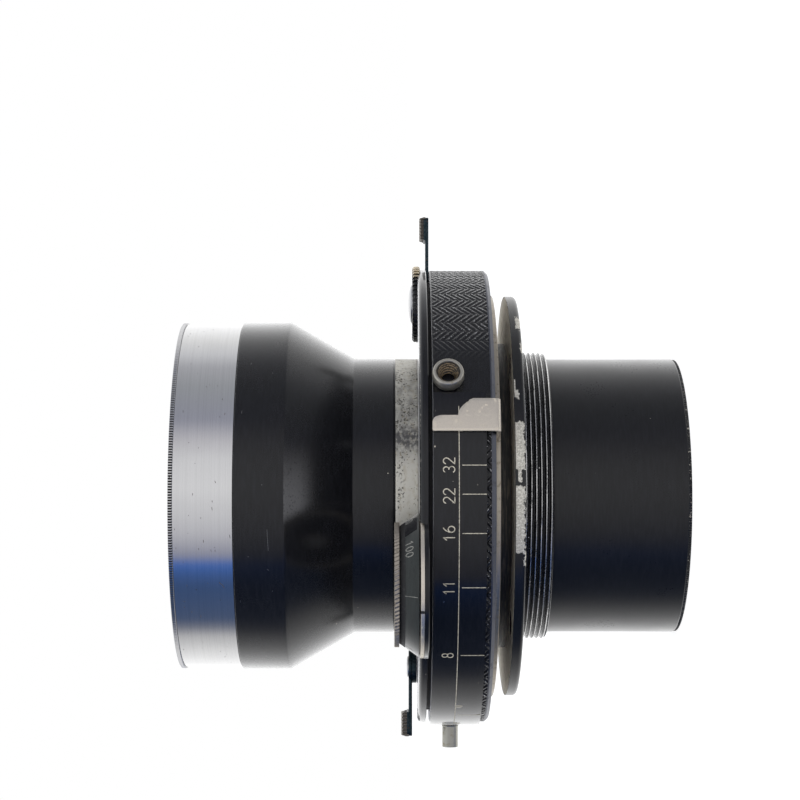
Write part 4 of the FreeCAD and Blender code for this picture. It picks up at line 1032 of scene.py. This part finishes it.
def make_pointer():
    span = Span("aperture_pointer")
    inner, outer = 51.1, 51.75
    index, step, wide = -14.4, -18.0, -22.1
    bend, corner = 1.0, 1.5
    rows = []
    for share in np.linspace(0, 1, 13):
        angle = index + (step - index) * share
        into = max(0.0, corner - math.radians(angle - step) * outer)
        drop = corner - math.sqrt(max(0.0, corner ** 2 - into ** 2))
        rows.append((angle, span.z1 - 0.12 * (share == 0) - drop))
    for share in np.linspace(0, 1, 13):
        hook = 0.25 * math.exp(-((share - 0.93) / 0.05) ** 2)
        rows.append((step + (wide - step) * share, 14.0 - 3.1 * share ** 2.1 + hook))
    columns = 26
    outside = np.zeros((len(rows), columns, 3))
    inside = np.zeros_like(outside)
    for row, (angle, top) in enumerate(rows):
        for column, share in enumerate(np.linspace(0, 1, columns)):
            height = span.z0 + (top - span.z0) * share ** 1.25
            below = max(0.0, bend - (height - span.z0))
            fold = bend - math.sqrt(max(0.0, bend ** 2 - below ** 2))
            at_edge = row in (0, len(rows) - 1) or column == columns - 1
            outside[row, column] = on_cylinder(outer - fold - 0.1 * at_edge, angle, height)
            inside[row, column] = on_cylinder(inner, angle, height)
    reaches = np.linspace(44.35, inner + 0.1, 6)[None, :]
    angles = np.linspace(index, wide, 14)[:, None]
    foot = closed_slab(*(on_cylinder(reaches, angles, height)
                         for height in (span.z0, span.z0 + 0.8)))
    finish("pointer", joined([closed_slab(inside, outside), foot]), POINTER, "aperture_pointer",
           "nickel_plate", "aperture_drive", 40.0)


# --- front cover
def cover_outline(inset):
    """The disc and the lobe under the speed dial, as one outline of (x, y)."""
    dial = Span("speed_dial_base")
    centre = Vector(dial.centre)
    big = Span("front_cover").x1 - inset
    small = dial.radius + 0.1 - inset
    distance = centre.length
    facing = math.atan2(centre.y, centre.x)
    along = (distance ** 2 + big ** 2 - small ** 2) / (2 * distance)
    half = math.acos(along / big)
    lobe_half = math.pi - math.acos((distance - along) / small)
    return (
        [polar(big, facing + half + (FULL_TURN - 2 * half) * step / 240) for step in range(241)]
        + [polar(small, facing - lobe_half + 2 * lobe_half * step / 60, centre)
           for step in range(1, 60)]
    )


COVER_REAR = 19.85
SCREW_CIRCLE = 41.0
COVER_SCREWS = [polar(SCREW_CIRCLE, math.radians(angle)) for angle in (45.0, 135.0, 205.0, 300.0)]


def make_cover():
    front = Span("front_cover").z1
    levels = [
        (COVER_REAR, 0.14), (COVER_REAR + 0.14, 0.0), (front - 1.0, 0.0), (front - 0.7, 0.06),
        (front - 0.42, 0.22), (front - 0.16, 0.52), (front, 0.95),
    ]
    rings = [[(x, y, height) for x, y in cover_outline(inset)] for height, inset in levels]
    count = len(rings[0])
    wear_and_painted_light = np.repeat([0.5 * (index == len(levels) - 2) for index in range(len(levels))], count)
    disc = mesh_of(sum(rings, []), stacked_faces(len(levels), count), wear_and_painted_light)
    dial = Span("speed_dial_base")
    wheel = Span("mode_wheel")
    above = front + 1
    tools = [
        drill(29.05, COVER_REAR - 1, above, 224),
        drill(dial.radius + 0.2, dial.z0 - 0.23, above, 160, dial.centre),
        drill(wheel.radius + 0.35, wheel.z1 - 1.8, above, 120, wheel.centre),
        drill(1.85, COVER_REAR - 1, above, 48, Span("cocking_shaft").centre),
    ]
    tools += [drill(1.95, front - 0.8, above, 48, spot) for spot in COVER_SCREWS]
    finish("cover_plate", cut_by(disc, tools), BLACK, "front_cover", sharp=30.0)
    turned("cover_skirt", tube_outline(45.0, 47.3, 14.7, COVER_REAR), MATT, segments=192, bevel=0.1)
    heads = [moved(slotted_head(1.9, 0.75, 0.45, 0.9 * index),
                   Matrix.Translation(Vector((*spot, front - 0.8)) * MM))
             for index, spot in enumerate(COVER_SCREWS)]
    finish("cover_screw_heads", joined(heads), STEEL, "cover_screws", "steel_pin")


# --- speed dial
SPEEDS = ("1", "2", "5", "10", "25", "50", "100")
SPEED_STEP = math.radians(42.4)
FIRST_SPEED = math.radians(270.0 + 34.6) + 6 * SPEED_STEP
INDEX_NOTCH = 250.5


def make_speed_dial():
    base = Span("speed_dial_base")
    cone = Span("speed_number_ring")
    disc = Span("speed_dial")
    on_dial = {"body": "dial"}
    round_dial = {"centre": cone.centre, "segments": 160}
    foot_low, foot_high = base.z0 - 0.2, base.z1 - 0.2
    low, high = cone.radius, 11.8
    foot = cone.z0 + 0.12
    flare = (low - high) / (cone.z1 - foot)
    teeth = 88
    turned("dial_base", tube_outline(2.0, base.radius, foot_low, foot_high), POINTER,
           "speed_dial_base", "nickel_plate", bevel=0.15, **round_dial)
    turned("number_ring", [
        (low - 1.6, cone.z0), (low - 0.12, cone.z0), (low, foot), (high, cone.z1),
        (high - 1.4, cone.z1),
    ], DIAL_BLACK, "speed_number_ring", bevel=0.06, **round_dial, **on_dial)
    # Painted shade: a thin matt black band on the top of the cone, in the groove under the disc.
    turned("number_ring_groove_shade", [
        (high + 1.15 * flare, cone.z1 - 1.15), (high + 1.15 * flare + 0.03, cone.z1 - 1.15),
        (high + 0.03, cone.z1 - 0.01), (high, cone.z1 - 0.01),
    ], MATT, bevel=0.0, **round_dial, **on_dial)

    def knurl(angle, radius, height):
        rim = radius > disc.radius - 0.35
        slanted = teeth * angle + 3.4 * (height - cone.z1)
        return -0.3 * rim * (0.5 - 0.5 * np.cos(slanted)), 0 * angle

    turned("dial_disc", [
        (0, cone.z1), (disc.radius, cone.z1), (disc.radius, disc.z1), (disc.radius - 1.6, disc.z1),
        (disc.radius - 2.0, disc.z1 - 0.25), (3.1, disc.z1 - 0.25), (2.9, disc.z1 - 0.05),
        (0, disc.z1 - 0.05),
    ], DIAL_NICKEL, "speed_dial", "nickel_plate", "dial", 50.0, segments=teeth * 6, longest=0.2,
        relief=knurl, centre=cone.centre)
    turned("dial_face", tube_outline(3.2, disc.radius - 2.1, disc.z1 - 0.3, disc.z1 - 0.12), BLACK,
           centre=cone.centre, segments=128, bevel=0.05, **on_dial)
    head_height = disc.z1 - 0.3 * (disc.z1 - cone.z1)
    head = moved(slotted_head(2.2, 0.3, 0.5, 0.4),
                 Matrix.Translation(Vector((*cone.centre, head_height)) * MM))
    finish("dial_screw", head, STEEL, None, "steel_pin", "dial")

    slope = math.hypot(low - high, cone.z1 - foot)
    middle = 0.5 * (low + high)

    def place(x, y, lift):
        share = y / slope
        reach = high + (low - high) * share + lift * (cone.z1 - foot) / slope
        height = cone.z1 + (foot - cone.z1) * share + lift * (low - high) / slope
        return (*polar(reach, x / middle + FIRST_SPEED, cone.centre), height)

    figure_height = 1.75
    strokes = []
    for index, number in enumerate(SPEEDS):
        x = -index * middle * SPEED_STEP
        strokes += [[(x - px * figure_height, 1.55 + py * figure_height) for px, py in stroke]
                    for stroke in text_strokes(number)]
    last = -len(SPEEDS) * middle * SPEED_STEP
    engraving("dial_figures", strokes, 0.24, place, FADED_FILL, **on_dial)
    engraving("dial_tick", [[(last, 1.3), (last, 4.3)]], 0.13, place, FADED_FILL, **on_dial)
    # A thin, darker and glossier field laid on the cone beside the figures.
    rows = (np.linspace(0.27, 0.80, 8) - 6 * SPEED_STEP) * middle
    columns = np.linspace(1.3, slope - 0.4, 8)
    patches = [np.array([[place(x + 0.15 * y, y, lift) for y in columns] for x in rows])
               for lift in (-0.03, 0.02)]
    finish("dial_dark_field", closed_slab(*patches), BLACK, **on_dial)
    notch = lathe_mesh(tube_outline(base.radius - 0.2, base.radius + 0.03, foot_low, foot_high),
                       bevel=0.0, **round_dial)
    index = keep_between(notch, cone.centre, INDEX_NOTCH - 1.3, INDEX_NOTCH + 1.3)
    finish("dial_index_notch", index, MATT)


# --- mode wheel
def make_mode_wheel():
    wheel = Span("mode_wheel")
    radius, top = wheel.radius, wheel.z1
    cap = Span("mode_wheel_cap").radius
    rim_bottom = top - 1.7
    teeth = 46

    def teeth_relief(angle, reach, height):
        rim = np.clip((reach - radius + 1.2) / 0.9, 0, 1)
        wave = np.clip(0.5 + 1.5 * np.cos(teeth * angle), 0, 1)
        outer_end = np.clip((np.cos(angle) - 0.55) / 0.2, 0, 1)
        # Bare brass on the tooth crests, most at the outer end: partly wear, partly painted
        # highlights.
        return -0.5 * rim * (1 - wave), (0.28 + 0.7 * outer_end) * wave * rim

    turned("mode_wheel_toothed", [
        (0, rim_bottom), (radius - 0.3, rim_bottom), (radius, rim_bottom + 0.3),
        (radius, top - 0.4), (radius - 0.5, top), (5.2, top), (4.6, top - 0.25), (0, top - 0.25),
    ], WHEEL_BLACK, "mode_wheel", body="mode", sharp=45.0, segments=teeth * 10, bevel=0.1,
        longest=0.3, relief=teeth_relief, centre=wheel.centre)
    dome = [(cap * math.cos(turn), top + 0.05 + 0.7 * math.sin(turn))
            for turn in np.linspace(0.15, 0.5 * math.pi, 8)]
    turned("wheel_cap", [(0, top - 0.25), (cap, top - 0.25), (cap, top + 0.05)] + dome[:-1]
           + [(0, top + 0.75)], STEEL, "mode_wheel_cap", "nickel_plate", "mode", segments=96,
           bevel=0.04, centre=wheel.centre)


# --- levers
def tip_corners(reach, half, corner=1.1):
    """Rounded outer corners of a square end along +X."""
    return [(reach - corner + corner * math.cos(turn), middle + corner * math.sin(turn))
            for middle, first in ((-half + corner, -90.0), (half - corner, 0.0))
            for turn in (math.radians(first + 15.0 * step) for step in range(7))]


def lever_outline(hub, hub_radius, reach, half_root, half_tip):
    """A tapering arm along +X from a round hub to a rounded tip."""
    start = math.asin(half_root / hub_radius)
    turns = [start + (FULL_TURN - 2 * start) * step / 24 for step in range(25)]
    return [polar(hub_radius, turn, (hub, 0)) for turn in turns] + tip_corners(reach, half_tip)


def tip_outline(root, reach, half):
    return [(root, half), (root, -half)] + tip_corners(reach, half)


def mirrored(outline):
    return [(-x, y) for x, y in outline][::-1]


def serrated_grip(grip, half, ridges=7):
    """A block with ridges across its top and outer end, its grooves darkened by painted shade."""
    xs = np.linspace(grip.x0, grip.x1, ridges * 8 + 1)
    ys = np.linspace(-half, half, 13)
    low = np.zeros((len(ys), len(xs), 3))
    high = np.zeros_like(low)
    groove_shade = np.zeros(low.shape[:2])
    for row, y in enumerate(ys):
        for column, x in enumerate(xs):
            share = (x - grip.x0) / (grip.x1 - grip.x0)
            groove = 1 - (0.5 - 0.5 * math.cos(FULL_TURN * ridges * share))
            edge = 0.25 * max(0.0, abs(y) / half - 0.85) / 0.15
            round_end = 0.3 * (min(share, 1 - share) < 0.02)
            narrowed = y * (1 - 0.09 * groove)
            low[row, column] = (x, narrowed, grip.z0)
            high[row, column] = (x, narrowed, grip.z1 - 0.45 * groove - edge - round_end)
            # Painted shade: the deeper the groove, the darker its colour.
            groove_shade[row, column] = 0.9 * groove ** 2
    return closed_slab(low, high, groove_shade)


def make_release_lever():
    arm = Span("release_lever")
    grip = Span("release_lever_grip")
    outline = lever_outline(Span("release_pivot").centre[0], 4.0, arm.x1, 2.9, 3.5)
    plate = prism_mesh(outline, arm.z0, arm.z1, 0.08)
    pad = prism_mesh(tip_outline(grip.x0 - 0.2, arm.x1, 3.6), arm.z1 - 0.1, arm.z1 + 0.4, 0.08)
    finish("release_arm", joined([plate, pad]), BLUED, "release_lever", "blued_steel", "release")
    finish("release_grip", serrated_grip(grip, 3.5), GRIP_NICKEL, "release_lever_grip",
           "nickel_plate", "release", 50.0)


def make_cocking_lever():
    arm = Span("cocking_lever")
    grip = Span("cocking_lever_grip")
    pivot = Span("cocking_shaft").centre
    top = grip.z0
    bottom = top - 0.75
    outline = mirrored(lever_outline(-pivot[0], 3.6, -arm.x0, 2.4, 3.0))
    plate = prism_mesh(outline, bottom, top, 0.08)
    hub = lathe_mesh(disc_outline(3.6, arm.z0, bottom + 0.05), 72, 0.12, centre=pivot)
    tip = mirrored(tip_outline(-grip.x1 - 0.2, -arm.x0, 3.1))
    pad = prism_mesh(tip, top - 0.1, top + 0.4, 0.08)
    finish("cocking_arm", joined([plate, hub, pad]), BLUED, "cocking_lever", "blued_steel",
           "cocking")
    turned("cocking_cap", [
        (0, top - 0.1), (2.3, top - 0.1), (2.3, top + 0.25), (1.7, top + 0.42), (0, top + 0.45),
    ], STEEL, None, "steel_pin", "cocking", segments=56, bevel=0.08, centre=pivot)
    finish("cocking_grip", serrated_grip(grip, 3.0), GRIP_NICKEL, "cocking_lever_grip",
           "nickel_plate", "cocking", 50.0)


# --- sockets
RIM_RADIUS = 49.9


def make_cable_socket():
    out = 53.1 - RIM_RADIUS
    pitch = 0.7

    def thread(angle, radius, height):
        inside = (radius < 2.3) & (height > -1.6) & (height < out - 0.4)
        crest = 0.5 + 0.5 * np.cos(FULL_TURN * (height / pitch + angle / FULL_TURN))
        return -0.34 * inside * crest, inside * (0.15 + 0.75 * crest)

    place = pointing(-28.0, RIM_RADIUS, 15.9)
    shell = lathe_mesh([
        (2.2, -2.1), (2.47, -2.1), (2.47, -0.05), (2.8, 0.0), (3.12, 0.7), (3.28, 1.45),
        (3.27, 2.1), (3.1, out - 0.25), (2.9, out), (2.5, out), (2.35, out - 0.3),
    ], 128, 0.1)
    finish("cable_socket", moved(shell, place), NICKEL, "cable_release_socket", "nickel_plate")
    core = [(0, -2.2), (2.3, -2.2), (2.33, out - 0.32), (1.3, -1.7), (0, -1.75)]
    finish("cable_bore", moved(lathe_mesh(core, 128, 0.0, 0.08, thread), place), SOCKET_BRASS, None,
           "nickel_plate", sharp=60.0)


def make_sync_socket():
    shell = Span("sync_socket_shell")
    length = -shell.x0 - RIM_RADIUS
    place = pointing(90.0, RIM_RADIUS, 0.5 * (shell.z0 + shell.z1))
    for name, outline, segments, bevel, material, node, slot in (
        ("sync_shell", [(1.15, -2.1), (1.47, -2.1), (1.47, 0.96), (1.9, 0.97), (1.9, 1.05),
                        (1.74, 1.2), (1.74, length), (1.15, length)],
         96, 0.12, STAINED, "sync_socket_shell", "nickel_plate"),
        ("sync_washer", tube_outline(1.5, 1.97, 0.01, 0.95),
         96, 0.1, GRIP_NICKEL, None, "nickel_plate"),
        ("sync_insulator", tube_outline(0.5, 1.15, -2.1, length - 3.0),
         64, 0.08, INSULATOR, "sync_socket_insulator", "insulator"),
        ("sync_pin", [(0, -2.1), (0.5, -2.1), (0.5, length - 0.9), (0.3, length - 0.5),
                      (0, length - 0.42)],
         40, 0.05, BRASS, "sync_socket_pin", "nickel_plate"),
    ):
        finish(name, moved(lathe_mesh(outline, segments, bevel), place), material, node, slot)


# --- CAD nodes that stay
INNER_MATERIALS = {
    "iris_blade_": BLADE, "shutter_blade_": BLADE, "aperture_cam_ring": BRASS,
    "blade_drive_ring": BRASS, "iris_plate": MATT, "mechanism_plate": MATT,
    "shutter_spacer_ring": BRASS, "speed_cam": BRASS, "aperture_drive_pins": STEEL,
    "release_pivot": STEEL, "cocking_shaft": STEEL, "main_spring": STEEL,
}


def dress_cad_nodes():
    for name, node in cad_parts.items():
        for start, material in INNER_MATERIALS.items():
            if name.startswith(start):
                node.data.materials.clear()
                node.data.materials.append(material)


# --- floor, light and camera
def make_floor():
    """A pale floor that mirrors do not see, so that the world's horizon shows in them."""
    count, radius = 96, 6.0
    points = [(*polar(radius, FULL_TURN * step / count), cad_bounds[0][2]) for step in range(count)]
    mesh = bpy.data.meshes.new("floor")
    mesh.from_pydata(points, [], [tuple(range(count))])
    shader = Shader("pale_floor", Roughness=0.9, Base_Color=(0.42, 0.42, 0.42),
                    Specular_IOR_Level=0.0, Emission_Color=(1.0, 1.0, 1.0), Emission_Strength=0.78)
    mix = shader.node("MixShader", Fac=shader.node("LightPath").outputs["Is Glossy Ray"])
    shader.feed(mix.inputs[1], shader.surface.outputs[0])
    shader.feed(mix.inputs[2], shader.node("BsdfTransparent").outputs[0])
    shader.feed(shader.tree.nodes["Material Output"].inputs["Surface"], mix.outputs[0])
    mesh.materials.append(shader.material)
    linked("floor", mesh)


# Colour round the horizon, by degrees from the -Y side towards -X
HORIZON = (
    (-180, 1.35, 1.35, 1.35), (-142, 1.12, 1.12, 1.12), (-123, 0.87, 0.87, 0.87),
    (-107, 0.70, 0.705, 0.73), (-94, 0.455, 0.46, 0.49), (-76, 0.35, 0.365, 0.39),
    (-50, 0.315, 0.325, 0.39), (-36, 0.60, 0.59, 0.625), (-24, 0.76, 0.76, 0.775),
    (-4, 0.81, 0.81, 0.82), (12, 0.70, 0.70, 0.72), (26, 0.57, 0.57, 0.61),
    (40, 0.31, 0.32, 0.40), (46, 0.05, 0.15, 0.50), (54, 0.05, 0.11, 0.30),
    (62, 0.043, 0.085, 0.20), (90, 0.065, 0.098, 0.185), (98, 0.20, 0.215, 0.27),
    (107, 0.56, 0.56, 0.57), (126, 0.88, 0.88, 0.88), (145, 1.12, 1.12, 1.12),
    (180, 1.35, 1.35, 1.35),
)


def make_world():
    """White behind and beside the lens, dark and bluish on the camera's side, as in a tent."""
    world = bpy.data.worlds.new("studio")
    bpy.context.scene.world = world
    world.use_nodes = True
    graph = Graph(world.node_tree)
    split = graph.node("SeparateXYZ", Vector=graph.node("TexCoord").outputs["Generated"])
    flipped = [graph.times(split.outputs[axis], -1.0) for axis in "XY"]
    share = graph.node("MapRange", Value=graph.math("ARCTAN2", *flipped),
                       From_Min=-math.pi, From_Max=math.pi)
    ramp = graph.node("ValToRGB", Fac=share.outputs["Result"])
    stops = ramp.color_ramp.elements
    while len(stops) < len(HORIZON):
        stops.new(0.5)
    for stop, (degrees, *colour) in zip(stops, HORIZON):
        stop.position = (degrees + 180.0) / 360.0
        stop.color = (*colour, 1.0)
    height = graph.node("MapRange", Value=split.outputs["Z"], From_Min=0.45, From_Max=0.85)
    sky = graph.mix(height.outputs["Result"], ramp.outputs["Color"], (0.9, 0.92, 0.95))
    seen = graph.node("LightPath").outputs["Is Camera Ray"]
    background = world.node_tree.nodes["Background"]
    graph.feed_all(background, {"Strength": 1.0, "Color": graph.mix(seen, sky, (1.0, 1.0, 1.0))})


def add_light(name, place, size, power):
    """A square light aimed at the shutter, that cameras and mirrors do not see."""
    light = bpy.data.lights.new(name, "AREA")
    light.size = size
    light.energy = power
    lamp = linked(name, light)
    lamp.location = Vector(place)
    aim = Vector((0, 0, 0.02)) - lamp.location
    lamp.rotation_euler = aim.to_track_quat("-Z", "Y").to_euler()
    lamp.visible_camera = False
    lamp.visible_glossy = False


def make_camera():
    """Level with the lens, on the -Y side, rolled so that +X is up and the front is at the left."""
    distance = 468.3
    height = 28.04
    aim_up, aim_right = 21.2, 2.68
    eye = Vector((0, -distance, height))
    forward = (Vector((aim_up, 0, height - aim_right)) - eye).normalized()
    up = (Vector((1, 0, 0)) - forward * forward.x).normalized()
    turn = Matrix((forward.cross(up), up, -forward)).transposed()
    camera = linked("camera", bpy.data.cameras.new("camera"))
    camera.data.lens = 94.5
    camera.data.sensor_width = 36.0
    camera.data.clip_start = 0.01
    camera.matrix_world = Matrix.Translation(eye * MM) @ turn.to_4x4()
    bpy.context.scene.camera = camera


make_camera()
make_world()
add_light("back_high", (0.36, 0.44, 0.22), 0.5, 0.9)
add_light("back_low", (-0.36, 0.44, 0.16), 0.5, 0.9)
add_light("front_fill", (0.1, -0.7, 0.55), 0.8, 4.0)
make_floor()
for make in (
    make_front_barrel, make_bezel, make_collar, make_glass, make_cell_rings,
    make_rear_barrel, make_mount_tube, make_flange,
    make_housing, make_scale_plate, make_scale_engraving, make_scale_screws,
    make_aperture_ring, make_pointer, make_cover, make_speed_dial, make_mode_wheel,
    make_release_lever, make_cocking_lever, make_cable_socket, make_sync_socket,
    dress_cad_nodes,
):
    make()

bpy.context.scene.view_settings.view_transform = "Standard"
